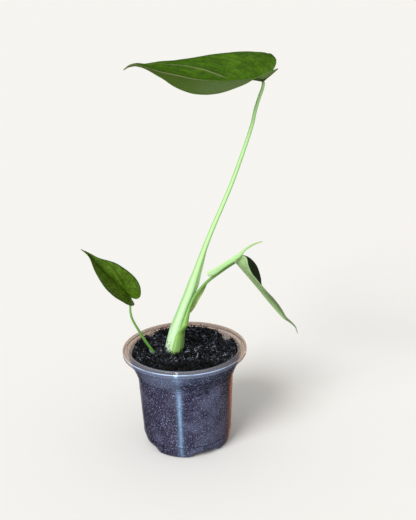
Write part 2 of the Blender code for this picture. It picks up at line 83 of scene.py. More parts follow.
def smooth_through(points: Path, count: int) -> list[Vector]:
    """Spread points evenly along a smooth curve.

    Args:
        points: places that the curve passes through.
        count: how many points to return.

    Returns:
        The evenly spread points.
    """
    pts = [Vector(p) for p in points]
    ends = [pts[0] * 2 - pts[1]] + pts + [pts[-1] * 2 - pts[-2]]
    dense = []
    steps = 16
    for i in range(1, len(ends) - 2):
        a, b, c, d = ends[i - 1], ends[i], ends[i + 1], ends[i + 2]
        for k in range(steps):
            t = k / steps
            dense.append(0.5 * ((2 * b) + (c - a) * t + (2 * a - 5 * b + 4 * c - d) * t * t
                                + (3 * b - a - 3 * c + d) * t * t * t))
    dense.append(pts[-1].copy())
    run = [0.0]
    for p, q in zip(dense, dense[1:]):
        run.append(run[-1] + (q - p).length)
    out = []
    j = 0
    for k in range(count):
        want = run[-1] * k / (count - 1)
        while j < len(run) - 2 and run[j + 1] < want:
            j += 1
        span = run[j + 1] - run[j]
        f = (want - run[j]) / span if span > 0 else 0.0
        out.append(dense[j].lerp(dense[j + 1], min(max(f, 0.0), 1.0)))
    return out


def length_of(path: list[Vector]) -> float:
    """Measure a path from point to point."""
    return sum((b - a).length for a, b in zip(path, path[1:]))


def headings(path: list[Vector]) -> list[Vector]:
    """Give the way ahead at each point of a path."""
    last = len(path) - 1
    return [(path[min(i + 1, last)] - path[max(i - 1, 0)]).normalized() for i in range(last + 1)]


def square_to(ahead: Vector, side: Vector) -> Vector:
    """Turn a direction as little as needed to stand square to the way ahead."""
    return (side - ahead * ahead.dot(side)).normalized()


def outward(turn: float) -> Vector:
    """Give the level direction at a turn in radians."""
    return Vector((math.cos(turn), math.sin(turn), 0))


def polar(radius: float, turn: float) -> Pair:
    """Give x and y for a radius and a turn in radians."""
    return radius * math.cos(turn), radius * math.sin(turn)


def clamp(value: float) -> float:
    """Hold a value between 0 and 1."""
    return min(max(value, 0.0), 1.0)


def ease(low: float, high: float, value: float) -> float:
    """Rise smoothly from 0 at low to 1 at high."""
    f = clamp((value - low) / (high - low))
    return f * f * (3 - 2 * f)


def look_up(table: Table, value: float) -> float:
    """Read a value on the smooth curve through the pairs of a table.

    Args:
        table: pairs of place and value, in order.
        value: the place to read at.

    Returns:
        The value there, held at the first and last pair.
    """
    last = len(table) - 1
    if value <= table[0][0]:
        return table[0][1]
    if value >= table[last][0]:
        return table[last][1]
    i = max(k for k in range(last) if table[k][0] <= value)
    slopes = []
    for k in (i, i + 1):
        before, after = table[max(k - 1, 0)], table[min(k + 1, last)]
        slopes.append((after[1] - before[1]) / (after[0] - before[0]))
    (a, low), (b, high) = table[i], table[i + 1]
    f = (value - a) / (b - a)
    rise = f * f * (3 - 2 * f)
    bend = slopes[0] * f * (1 - f) ** 2 - slopes[1] * f * f * (1 - f)
    return low + (high - low) * rise + bend * (b - a)


# The bench: modelling with Blender's own tools


class Bench:
    """Modelling steps on one object at a time."""

    @staticmethod
    def clear() -> None:
        """Leave edit mode and deselect everything."""
        if bpy.context.object and bpy.context.object.mode != "OBJECT":
            bpy.ops.object.mode_set(mode="OBJECT")
        bpy.ops.object.select_all(action="DESELECT")

    @staticmethod
    def take(item: Object) -> None:
        """Select one object and make it active.

        Args:
            item: the object.
        """
        Bench.clear()
        item.select_set(True)
        bpy.context.view_layer.objects.active = item

    @staticmethod
    @contextmanager
    def editing(item: Object) -> Iterator[None]:
        """Open a mesh for editing with all of it selected, and close it after the block.

        Args:
            item: the object to edit.

        Yields:
            Nothing. The block's steps work on the open mesh.
        """
        Bench.take(item)
        bpy.ops.object.mode_set(mode="EDIT")
        bpy.ops.mesh.select_all(action="SELECT")
        yield
        bpy.ops.object.mode_set(mode="OBJECT")

    @staticmethod
    def named(name: str) -> Object:
        """Name the primitive that was just added and put its place into its mesh.

        Args:
            name: the name for the object and its mesh.

        Returns:
            The primitive.
        """
        item = bpy.context.object
        item.name = name
        item.data.name = name
        bpy.ops.object.transform_apply(location=True, rotation=True, scale=True)
        return item

    @staticmethod
    def weld(item: Object) -> None:
        """Join seams and poles, drop empty faces and turn every face outwards.

        Args:
            item: the object to weld.
        """
        with Bench.editing(item):
            bpy.ops.mesh.remove_doubles(threshold=WELD)
            bpy.ops.mesh.dissolve_degenerate(threshold=WELD)
            bpy.ops.mesh.select_all(action="SELECT")
            bpy.ops.mesh.normals_make_consistent(inside=False)

    @staticmethod
    def close(item: Object) -> None:
        """Join a rolled sheet's seam, fill its two ends and shade it smooth.

        Args:
            item: the rolled sheet.
        """
        Bench.weld(item)
        with Bench.editing(item):
            bpy.ops.mesh.fill_holes(sides=0)
            bpy.ops.mesh.select_all(action="SELECT")
            bpy.ops.mesh.normals_make_consistent(inside=False)
        Bench.smooth(item, 60)

    @staticmethod
    def sheet(name: str, rows: int, columns: int, law: Law) -> Object:
        """Add a grid and lay every corner of it where a law says.

        Args:
            name: the piece's name.
            rows: cells along the sheet.
            columns: cells across the sheet.
            law: the place in millimetres for a share along and a share across.

        Returns:
            The shaped sheet. Its UV map keeps the two shares.
        """
        Bench.clear()
        bpy.ops.mesh.primitive_grid_add(x_subdivisions=rows, y_subdivisions=columns, size=2)
        item = Bench.named(name)
        for vertex in item.data.vertices:
            along = (vertex.co.x + 1) / 2
            across = (vertex.co.y + 1) / 2
            vertex.co = law(along, across) * MM
        item.data.update()
        return item

    @staticmethod
    def roll(name: str, rows: int, around: int, law: GrainLaw) -> Object:
        """Roll a sheet into a closed stem whose points keep their grain.

        Args:
            name: the piece's name.
            rows: cells along the stem.
            around: cells round it.
            law: the place in millimetres and the grain for a share along and a share round.

        Returns:
            The closed stem.
        """
        grain = []

        def corner(along: float, across: float) -> Vector:
            """Lay one corner and keep its grain.

            Args:
                along: its share along.
                across: its share across.

            Returns:
                Its place.
            """
            place, lie = law(along, across)
            grain.append(lie)
            return place

        item = Bench.sheet(name, rows, around, corner)
        Bench.note(item, "grain", np.array(grain))
        Bench.close(item)
        return item

    @staticmethod
    def apply(item: Object, kind: str, **settings: object) -> None:
        """Add a modifier and apply it.

        Args:
            item: the object to change.
            kind: the modifier's type.
            settings: its settings.
        """
        Bench.take(item)
        modifier = item.modifiers.new(kind.lower(), kind)
        for key, value in settings.items():
            setattr(modifier, key, value)
        bpy.ops.object.modifier_apply(modifier=modifier.name)

    @staticmethod
    def solidify(item: Object, thickness: float) -> None:
        """Give a sheet a thickness in millimetres, half of it to each side."""
        Bench.apply(item, "SOLIDIFY", thickness=thickness * MM, offset=0.0, use_even_offset=False)

    @staticmethod
    def smooth(item: Object, degrees: float) -> None:
        """Shade smooth, with sharp edges past an angle."""
        Bench.take(item)
        bpy.ops.object.shade_smooth_by_angle(angle=math.radians(degrees))

    @staticmethod
    def note(item: Object, name: str, values: np.ndarray) -> None:
        """Keep a value or a vector for each point of a mesh, for its material to read.

        Args:
            item: the object.
            name: the attribute's name.
            values: a number or three numbers for each point.
        """
        kind, key = ("FLOAT", "value") if values.ndim == 1 else ("FLOAT_VECTOR", "vector")
        layer = item.data.attributes.new(name, kind, "POINT")
        layer.data.foreach_set(key, np.ascontiguousarray(values, np.float32).ravel())

    @staticmethod
    def dress(item: Object, node: str, slot: str, material: bpy.types.Material) -> Object:
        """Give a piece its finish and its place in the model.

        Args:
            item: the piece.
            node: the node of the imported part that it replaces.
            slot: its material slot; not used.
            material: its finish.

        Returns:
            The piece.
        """
        item.data.materials.clear()
        item.data.materials.append(material)
        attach(item, "root")
        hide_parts(node)
        return item


# Materials


class Wire:
    """A number that varies over a surface, for use in sums."""

    def __init__(self, graph: "Graph", socket: Socket) -> None:
        """Wrap an output socket."""
        self.graph = graph
        self.socket = socket

    def _sum(self, operation: str, *values: Number) -> "Wire":
        """Add a Math node."""
        made = self.graph.node("Math", dict(enumerate(values)), operation=operation)
        return Wire(self.graph, made.outputs[0])

    def __add__(self, other: Number) -> "Wire":
        """Add."""
        return self._sum("ADD", self, other)

    def __mul__(self, other: Number) -> "Wire":
        """Multiply."""
        return self._sum("MULTIPLY", self, other)

    def __sub__(self, other: Number) -> "Wire":
        """Take away."""
        return self._sum("SUBTRACT", self, other)

    def __rsub__(self, other: Number) -> "Wire":
        """Take this away from a number."""
        return self._sum("SUBTRACT", other, self)

    def __truediv__(self, other: Number) -> "Wire":
        """Divide."""
        return self._sum("DIVIDE", self, other)

    def absolute(self) -> "Wire":
        """Drop the sign."""
        return self._sum("ABSOLUTE", self)

    def log(self) -> "Wire":
        """Take the natural logarithm."""
        return self._sum("LOGARITHM", self, math.e)

    def part(self) -> "Wire":
        """Keep what follows the point."""
        return self._sum("FRACT", self)

    def above(self, level: Number) -> "Wire":
        """Give 1 over a level and 0 under it."""
        return self._sum("GREATER_THAN", self, level)

    def most(self, other: Number) -> "Wire":
        """Give the larger of two."""
        return self._sum("MAXIMUM", self, other)

    def least(self, other: Number) -> "Wire":
        """Give the smaller of two."""
        return self._sum("MINIMUM", self, other)


class Tree:
    """A tree of shader nodes, built by saying what each input holds."""

    def __init__(self, owner: Union[bpy.types.Material, bpy.types.World]) -> None:
        """Take over the nodes.

        Args:
            owner: the material or world that has them.
        """
        owner.use_nodes = True
        self.nodes = owner.node_tree.nodes
        self.links = owner.node_tree.links

    def fill(self, node: bpy.types.Node, values: Values) -> bpy.types.Node:
        """Set or link the inputs of a node.

        Args:
            node: the node.
            values: a value, a colour, a wire or a socket for each input.

        Returns:
            The node.
        """
        for key, value in values.items():
            socket = node.inputs[key]
            if isinstance(value, Wire):
                self.links.new(value.socket, socket)
            elif isinstance(value, Socket):
                self.links.new(value, socket)
            elif isinstance(value, tuple) and len(value) == 3 and socket.type == "RGBA":
                socket.default_value = (*value, 1.0)
            else:
                socket.default_value = value
        return node

    def node(self, kind: str, values: Optional[Values] = None, **settings: object) -> bpy.types.Node:
        """Add a node.

        Args:
            kind: the node's type, without its prefix.
            values: what each input holds or is linked to.
            settings: its own settings.

        Returns:
            The node.
        """
        made = self.nodes.new("ShaderNode" + kind)
        for key, value in settings.items():
            setattr(made, key, value)
        return self.fill(made, values or {})


class Graph(Tree):
    """One procedural material around a single Principled shader."""

    def __init__(self, name: str, **constants: Union[float, Colour]) -> None:
        """Start a material.

        Args:
            name: the material's name.
            constants: values of the shader's sockets, with spaces written as underscores.
        """
        self.material = bpy.data.materials.new(name)
        super().__init__(self.material)
        self.shader = self.nodes["Principled BSDF"]
        self.feed(**constants)

    def feed(self, **values: Union[float, Colour, Wire, Socket]) -> None:
        """Set or link the shader's sockets, with spaces written as underscores."""
        self.fill(self.shader, {key.replace("_", " "): value for key, value in values.items()})

    def place(self) -> Socket:
        """Give the object's own coordinates in metres."""
        return self.node("TexCoord").outputs["Object"]

    def kept(self, name: str) -> Wire:
        """Read a number that the mesh keeps for each point."""
        return Wire(self, self.node("Attribute", attribute_name=name).outputs["Fac"])

    def kept_axes(self, name: str) -> tuple[Wire, Wire, Wire]:
        """Read the three numbers that the mesh keeps for each point."""
        return self.axes(self.node("Attribute", attribute_name=name).outputs["Vector"])

    def axes(self, vector: Socket) -> tuple[Wire, Wire, Wire]:
        """Split a vector into its three numbers."""
        made = self.node("SeparateXYZ", {0: vector})
        return tuple(Wire(self, made.outputs[k]) for k in range(3))

    def vector(self, x: Number, y: Number, z: Number) -> Socket:
        """Join three numbers into a vector."""
        return self.node("CombineXYZ", {0: x, 1: y, 2: z}).outputs[0]

    def cloud(self, vector: Socket, scale: float, detail: float = 3.0, rough: float = 0.55) -> Wire:
        """Give a soft random value between 0 and 1.

        Args:
            vector: where to read it.
            scale: how many clouds there are to a unit.
            detail: how many finer layers are added.
            rough: how strong the finer layers are.

        Returns:
            The value.
        """
        made = self.node("TexNoise", {"Vector": vector, "Scale": scale, "Detail": detail, "Roughness": rough})
        return Wire(self, made.outputs[0])

    def cells(self, vector: Socket, scale: float) -> Wire:
        """Give the distance to the nearest of many scattered points."""
        made = self.node("TexVoronoi", {"Vector": vector, "Scale": scale})
        return Wire(self, made.outputs[0])

    def rise(self, value: Wire, low: float, high: float) -> Wire:
        """Rise smoothly from 0 at low to 1 at high, or fall where low is the larger.

        Args:
            value: what is measured.
            low: where the result is 0.
            high: where the result is 1.

        Returns:
            The share.
        """
        lo, hi, first, last = (low, high, 0.0, 1.0) if low < high else (high, low, 1.0, 0.0)
        made = self.node("MapRange", {"Value": value, "From Min": lo, "From Max": hi, "To Min": first,
                                      "To Max": last}, interpolation_type="SMOOTHSTEP")
        return Wire(self, made.outputs[0])

    def near(self, value: Wire, middle: float, far: float, close: float) -> Wire:
        """Rise from 0 at a far distance from a middle to 1 at a close one."""
        return self.rise((value - middle).absolute(), far, close)

    def blend(self, share: Number, first: Paint, second: Paint) -> Socket:
        """Mix two colours by the second one's share."""
        return self.node("Mix", {0: share, 6: first, 7: second}, data_type="RGBA").outputs[2]

    def coats(self, paint: Paint, *layers: tuple[Number, Paint]) -> Paint:
        """Lay colours over one another.

        Args:
            paint: the lowest colour.
            layers: the share and the colour of each layer over it, from the lowest up.

        Returns:
            The colour seen from above.
        """
        for share, colour in layers:
            paint = self.blend(share, paint, colour)
        return paint

    def emboss(self, height: Wire, strength: float, distance: float) -> None:
        """Feed the shader's normal from a height in shares of a distance in metres."""
        made = self.node("Bump", {"Height": height, "Strength": strength, "Distance": distance})
        self.feed(Normal=made.outputs[0])

    def see_through(self, share: Wire, tint: Colour) -> None:
        """Let what stands behind the surface show through.

        Args:
            share: how much of it shows.
            tint: the colour that it takes on.
        """
        clear = self.node("BsdfTransparent", {"Color": tint})
        made = self.node("MixShader", {0: share, 1: self.shader.outputs[0], 2: clear.outputs[0]})
        self.fill(self.nodes["Material Output"], {"Surface": made.outputs[0]})


@dataclass(frozen=True)
class BladeFinish:
    """Colours of a blade: its two faces, its veins and its halves."""

    name: str
    deep: Colour
    bright: Colour
    edge: Colour
    under: Colour
    under_deep: Colour
    under_edge: Colour
    vein: Colour
    left_base_painted_light: Colour
    left_tip_painted_light: Colour
    left_painted_light_share: float
    strong_vein: float
    rib: Colour
    patch: Colour
    patch_share: float = 0.0
    mottles: float = 0.4
    edge_share: float = 0.6
    lateral_share: float = 0.1
    vein_share: float = 0.6
    rib_share: float = 0.7
    rib_fade: float = 0.45
    roughness: float = 0.42
    gloss: float = 0.2
    # The heart colour is partly the blade's own dark green and partly painted shadow by the stem.
    heart: Colour = (0.044, 0.076, 0.003)
    heart_share: float = 0.0
    under_fade: float = 0.0
    fold_shade: Colour = (0.165, 0.225, 0.10)
    fold_shade_share: float = 0.0
    dry_tip: Colour = (0.16, 0.11, 0.06)
    dry_share: float = 0.0
    first_vein: float = 2.0
    vein_step: float = 6.3
    reach: float = 12.0
    lean: float = 1.25
    length: float = 93.5

    def material(self) -> bpy.types.Material:
        """Build the material. It reads the blade's flat coordinates and which face a point is on.

        Returns:
            The material.
        """
        g = Graph(self.name, Roughness=self.roughness, Metallic=0.0, Specular_IOR_Level=self.gloss)
        x, share, y = g.kept_axes("flat")
        under = g.kept("under")
        here = g.place()
        out = share.absolute()
        off = y.absolute()
        # Side veins leave the midrib at start and curve outwards.
        away = (1.001 - out * 0.97).log()
        spread = 1.0 - away * self.lean
        start = (x + away * self.reach) / spread
        side = share.above(0.0)
        turn = ((start - self.first_vein) / self.vein_step + 100.5).part()
        gap = (turn - 0.5).absolute() * self.vein_step * spread * 0.75
        third = self.vein_step / 3.0
        fine = ((start / third + 100.0).part() - 0.5).absolute() * third * spread
        # Random marks, from the broadest to the finest.
        streak = g.cloud(g.vector(start * 0.55, share * 1.6, side * 7.0), 1.0, 5.0, 0.65)
        grain = g.cloud(g.vector(start * 1.1, share * 6.0, side * 7.0), 1.0, 3.0, 0.7)
        blotch = g.cloud(here, 60.0, 3.0, 0.6)
        mottle = g.cloud(here, 210.0, 4.0, 0.65)
        stain = g.rise(g.cloud(here, 330.0, 4.0, 0.7), 0.48, 0.58)
        spots = g.cloud(here, 480.0, 3.0, 0.7)
        speck = g.cloud(here, 1100.0, 2.0, 0.6)
        tone = g.rise(streak, 0.40, 0.62) * 0.4 + g.rise(mottle, 0.42, 0.60) * 0.35
        tone = tone + g.rise(blotch, 0.4, 0.6) * 0.25
        # Veins, and painted shade in the grooves next to the strong vein and the midrib.
        lateral = g.rise(gap, 0.7, 0.1) * g.rise(g.cloud(here, 60.0, 2.0), 0.3, 0.6)
        tertiary = g.rise(fine, 0.5, 0.1)
        right_side = side * g.rise(out, 0.04, 0.2)
        strong = g.near(start, self.strong_vein, 1.3, 0.3) * right_side
        vein_groove_shade = g.near(start, self.strong_vein - 2.2, 1.6, 0.4) * right_side
        rib = g.rise(off, 0.9, 0.35)
        midrib_groove_shade = g.near(y, 1.5, 0.9, 0.2) * g.rise(x, 12.0, 22.0)
        rib_start, rib_end = self.length * (self.rib_fade - 0.2), self.length * (self.rib_fade + 0.2)
        # The left half's colour is partly the leaf's own green and partly painted light: a grey sheen near
        # the stem on the large blade, shade on the small one.
        left = g.coats(
            g.blend(g.rise(x, self.length * 0.28, self.length * 0.62), self.left_base_painted_light, self.left_tip_painted_light),
            (g.rise(streak, 0.45, 0.75) * 0.35, self.bright),
            (g.rise(mottle, 0.5, 0.75) * 0.3, self.deep))
        green = g.coats(
            g.blend(tone, self.deep, self.bright),
            ((1.0 - side) * self.left_painted_light_share, left),
            (stain * (1.0 - side) * self.patch_share, self.patch),
            (g.rise(grain, 0.50, 0.62) * self.mottles, self.deep),
            (g.rise(spots, 0.50, 0.62) * self.mottles, self.deep),
            (g.rise(spots, 0.46, 0.36) * self.mottles * 0.8, self.bright),
            (g.rise(speck, 0.5, 0.75) * 0.25, self.bright),
            (g.rise(out, 0.90, 0.99) * self.edge_share, self.edge),
            (tertiary * 0.25, self.deep),
            (lateral * self.lateral_share, self.vein),
            ((vein_groove_shade + midrib_groove_shade).least(1.0) * 0.55, self.deep),
            (strong * self.vein_share, self.vein),
            (rib * g.rise(x, rib_start, rib_end) * self.rib_share, self.rib))
        # Painted shade: a darker olive strip on the under face along the right half's outer part and over the
        # tip.
        fold_shade = g.rise(out, 0.40, 0.62) * side * g.rise(x, 20.0, 32.0)
        fold_shade = fold_shade.most(g.rise(x, self.length * 0.74, self.length * 0.82)) * self.fold_shade_share
        pale = g.coats(
            g.blend(tone * 0.8, self.under_deep, self.under),
            (g.rise(gap, 0.6, 0.1) * 0.3, self.under_edge),
            (g.rise(out, 0.72, 0.95) * 0.8, self.under_edge),
            (rib * 0.6, self.under_edge),
            (g.rise(x, self.length * 0.15, self.length * 0.85) * self.under_fade, self.under_deep),
            (fold_shade, self.fold_shade),
            (g.rise(x, 5.0, 0.0) * g.rise(off, 5.0, 10.0) * self.heart_share, self.under_edge),
            # Painted shadow: the under face by the stem is darkened with the heart colour.
            (g.rise(x, 9.0, 2.0) * g.rise(off, 5.0, 1.5) * self.heart_share, self.heart))
        dry = g.rise(x, self.length - 5.0, self.length - 1.5) * self.dry_share
        g.feed(Base_Color=g.blend(dry, g.blend(under, green, pale), self.dry_tip))
        g.feed(Roughness=g.rise(mottle, 0.2, 0.8) * 0.14 + (self.roughness - 0.07) + under * 0.15)
        g.emboss(speck * 0.3 + mottle * 0.5 - tertiary * 0.3 - lateral * 0.35, 0.4, 0.0003)
        return g.material


@dataclass(frozen=True)
class StemFinish:
    """Colours of a stem along its length and round it."""

    name: str
    foot: Colour
    middle: Colour
    top: Colour
    flank: Colour
    side_shade_share: float
    length: float
    knuckle: Colour = (0.045, 0.09, 0.008)
    knuckle_share: float = 0.0
    # Share of the painted shade on the left flank.
    left_painted_light_share: float = 0.0
    streaks: float = 0.25
    roughness: float = 0.42
    gloss: float = 0.3

    def material(self) -> bpy.types.Material:
        """Build the material. It reads the stem's own directions and length.

        Returns:
            The material.
        """
        g = Graph(self.name, Roughness=self.roughness, Metallic=0.0, Specular_IOR_Level=self.gloss)
        front, right, along = g.kept_axes("grain")
        lines = g.cloud(g.vector(front * 1.6, right * 1.6, along * 0.035), 1.0, 5.0, 0.65)
        fine = g.cloud(g.vector(front * 6.0, right * 6.0, along * 0.12), 1.0, 3.0, 0.6)
        patch = g.cloud(g.place(), 120.0, 3.0)
        # Painted shade: the flank colour darkens the stem's sides as seen from the front, a line right of its
        # middle, and its left flank above the foot.
        side_shade = g.rise(front.absolute(), 0.75, 0.1) * 0.8
        side_shade = side_shade.most(g.near(right, 0.58, 0.26, 0.08) * 0.8)
        side_shade = side_shade.most(g.rise(right, -0.35, -0.85) * g.rise(along, 20.0, 40.0) * self.left_painted_light_share)
        knuckle = g.rise(along, self.length - 7.0, self.length - 1.0) * self.knuckle_share
        body = g.coats(
            self.foot,
            (g.rise(along, 0.0, self.length * 0.45), self.middle),
            (g.rise(along, self.length * 0.45, self.length), self.top),
            (side_shade * self.side_shade_share, self.flank),
            (g.rise(lines, 0.42, 0.72) * self.streaks, self.flank),
            (g.rise(fine, 0.48, 0.72) * self.streaks * 0.6, self.foot),
            (g.rise(patch, 0.6, 0.8) * 0.18, self.flank),
            (knuckle, self.knuckle))
        g.feed(Base_Color=body, Roughness=g.rise(patch, 0.2, 0.8) * 0.12 + (self.roughness - 0.05))
        g.emboss(lines * 0.7 + fine * 0.3, 0.4, 0.0003)
        return g.material


@dataclass(frozen=True)
class WingFinish:
    """Colours of the dry margin: olive, and browner at its top end."""

    name: str = "olive_margin"
    dark: Colour = (0.34, 0.50, 0.12)
    pale: Colour = (0.52, 0.68, 0.24)
    brown: Colour = (0.24, 0.19, 0.04)

    def material(self) -> bpy.types.Material:
        """Build the material from the object's own coordinates.

        Returns:
            The material.
        """
        g = Graph(self.name, Roughness=0.6, Metallic=0.0)
        x, y, z = g.axes(g.place())
        streak = g.cloud(g.vector(x, y, z * 0.25), 700.0, 4.0, 0.6)
        body = g.blend(g.rise(streak, 0.3, 0.7), self.dark, self.pale)
        g.feed(Base_Color=g.blend(g.rise(z, 0.117, 0.1215) * 0.8, body, self.brown))
        g.emboss(streak, 0.3, 0.0003)
        return g.material


@dataclass(frozen=True)
class PlasticFinish:
    """Thin clear plastic: hazed and specked over the soil, taupe where light comes through it."""

    name: str = "smoky_plastic"
    wall: Colour = (0.006, 0.004, 0.008)
    haze: Colour = (0.045, 0.029, 0.042)
    speck: Colour = (0.28, 0.24, 0.28)
    ridge: Colour = (0.12, 0.09, 0.10)
    rim: Colour = (0.25, 0.255, 0.30)
    cloudy_rim: Colour = (0.28, 0.25, 0.27)
    # Dark colour of the painted shade in the flange's grooves and on the ridge lines.
    shade_line: Colour = (0.05, 0.035, 0.035)
    flange: Colour = (0.07, 0.065, 0.085)
    # Colour of the painted highlight along the lip's outer top edge.
    painted_edge_highlight: Colour = (0.56, 0.56, 0.60)
    tint: Colour = (0.95, 0.82, 0.70)
    wall_alpha: float = 0.64
    rim_clear: float = 0.66

    def material(self) -> bpy.types.Material:
        """Build the material. It reads where the wall turns into the rim and the inner face.

        Returns:
            The material.
        """
        g = Graph(self.name, Roughness=0.36, Metallic=0.0, Specular_IOR_Level=0.45, IOR=1.45,
                  Anisotropic=1.0, Anisotropic_Rotation=0.25)
        here = g.place()
        px, py, pz = g.axes(here)
        high = pz * 1000.0
        inner = g.kept("inner")
        outer = 1.0 - inner
        rim = g.rise(pz, 0.0706, 0.0718).most(inner * g.rise(pz, 0.060, 0.066))
        cloudy = g.cloud(here, 85.0, 4.0, 0.6)
        grain = g.cloud(here, 820.0, 3.0, 0.75)
        flecks = g.rise(g.cells(here, 850.0), 0.38, 0.22) * g.rise(g.cloud(here, 500.0, 2.0), 0.42, 0.54)
        # Painted sheen: a paler cloudy patch at mid-height on the front right of the wall stands in for a
        # broad soft reflection.
        painted_sheen = g.near(px, 0.020, 0.016, 0.003) * g.near(pz, 0.040, 0.024, 0.008)
        painted_sheen = painted_sheen * g.rise(py, 0.0, -0.010) * g.rise(cloudy, 0.3, 0.6)
        # Painted shade: dark lines round the wall at the ring steps at 9.6 mm and 57.2 mm, where the steps
        # break the highlight; they are rougher too.
        marks = g.near(high, 9.6, 0.7, 0.2).most(g.near(high, 57.2, 0.7, 0.2))
        ridges = g.near((high / 3.1).part(), 0.5, 0.16, 0.03) * g.rise(pz, 0.058, 0.060)
        body = g.coats(
            self.wall,
            (g.rise(grain, 0.44, 0.60) * 0.72 + g.rise(cloudy, 0.34, 0.66) * 0.28, self.haze),
            # Painted shade: the flaring top of the wall, which faces down under the flange, is made darker.
            (g.rise(pz, 0.056, 0.062) * 0.85, self.wall),
            (flecks * 0.54, self.speck),
            (g.rise(g.cloud(here, 30.0, 2.0), 0.50, 0.68) * 0.16, self.speck),
            (painted_sheen * 0.16, self.speck),
            (marks * 0.75, self.wall),
            (ridges * 0.2, self.ridge))
        reach = (px * px + py * py) * 1.0e6
        # Painted shade: dark rings on the flange's top where its fine grooves run; a little less shows
        # through them.
        lip_groove_shade = g.near(reach, 1747.0, 42.0, 12.0).most(g.near(reach, 1892.0, 34.0, 10.0) * 0.6)
        lip_groove_shade = lip_groove_shade * g.rise(pz, 0.0718, 0.0728)
        # Painted highlight: a pale broken line along the lip's outer top edge stands in for glints; less
        # shows through there.
        painted_edge_highlight = g.near(pz, 0.0741, 0.00035, 0.0001) * outer * g.rise(cloudy, 0.25, 0.55)
        clear = g.coats(
            self.rim,
            (g.rise(cloudy, 0.35, 0.7) * 0.3, self.cloudy_rim),
            (lip_groove_shade.most(ridges * 0.4) * 0.8, self.shade_line),
            (g.rise(pz, 0.0738, 0.0731) * outer * 0.75, self.flange),
            (painted_edge_highlight * 0.6, self.painted_edge_highlight))
        g.feed(Base_Color=g.blend(rim, body, clear))
        g.feed(Alpha=rim * (1.0 - self.wall_alpha) + self.wall_alpha)
        g.feed(Roughness=g.rise(cloudy, 0.3, 0.7) * 0.06 + 0.33 - rim * 0.19 + marks * 0.35
               - g.rise(pz, 0.057, 0.061) * (1.0 - rim) * 0.10)
        g.emboss(grain * 0.4 + cloudy * 0.6, 0.10, 0.0004)
        g.see_through(rim * (self.rim_clear - lip_groove_shade * 0.18 - painted_edge_highlight * 0.3), self.tint)
        return g.material


@dataclass(frozen=True)
class BedFinish:
    """Dark soil: black between the fibres on top, purple-grey and specked against the wall."""

    name: str = "potting_soil"
    dark: Colour = (0.002, 0.002, 0.003)
    pale: Colour = (0.020, 0.020, 0.026)
    side_dark: Colour = (0.008, 0.007, 0.012)
    side_pale: Colour = (0.10, 0.09, 0.13)

    def material(self) -> bpy.types.Material:
        """Build the material. It reads which points lie against the pot.

        Returns:
            The material.
        """
        g = Graph(self.name, Roughness=0.8, Metallic=0.0, Specular_IOR_Level=0.05)
        here = g.place()
        grit = g.cloud(here, 620.0, 5.0, 0.7)
        clod = g.cloud(here, 130.0, 3.0, 0.6)
        top = g.blend(g.rise(grit, 0.42, 0.72), self.dark, self.pale)
        tone = g.rise(g.cloud(here, 900.0, 3.0, 0.7), 0.42, 0.64) * 0.7 + g.rise(clod, 0.35, 0.7) * 0.3
        wall = g.blend(tone, self.side_dark, self.side_pale)
        g.feed(Base_Color=g.blend(g.kept("side"), top, wall), Roughness=g.rise(grit, 0.3, 0.7) * 0.3 + 0.6)
        g.emboss(grit * 0.7 + clod * 0.3, 0.7, 0.0008)
        return g.material


@dataclass(frozen=True)
class ChipFinish:
    """Loose bits of soil: mostly black, some paler and bluish, partly their own colour and partly a painted
    highlight.
    """

    name: str
    dark: Colour
    middle: Colour
    pale: Colour
    roughness: float = 0.5

    def material(self) -> bpy.types.Material:
        """Build the material. It reads a tone that the mesh keeps for each bit.

        Returns:
            The material.
        """
        g = Graph(self.name, Roughness=self.roughness, Metallic=0.0, Specular_IOR_Level=0.14)
        tone = g.kept("tone")
        grit = g.cloud(g.place(), 900.0, 3.0, 0.65)
        body = g.coats(
            self.dark,
            (g.rise(tone, 0.36, 0.76), self.middle),
            # The palest bluish tone is partly the bits' own colour and partly painted highlight.
            (g.rise(tone, 0.76, 0.96), self.pale),
            (g.rise(grit, 0.40, 0.62) * 0.8, self.dark))
        g.feed(Base_Color=body, Roughness=g.rise(grit, 0.3, 0.7) * 0.25 + (self.roughness - 0.1))
        g.emboss(grit, 0.5, 0.0004)
        return g.material


# Blades


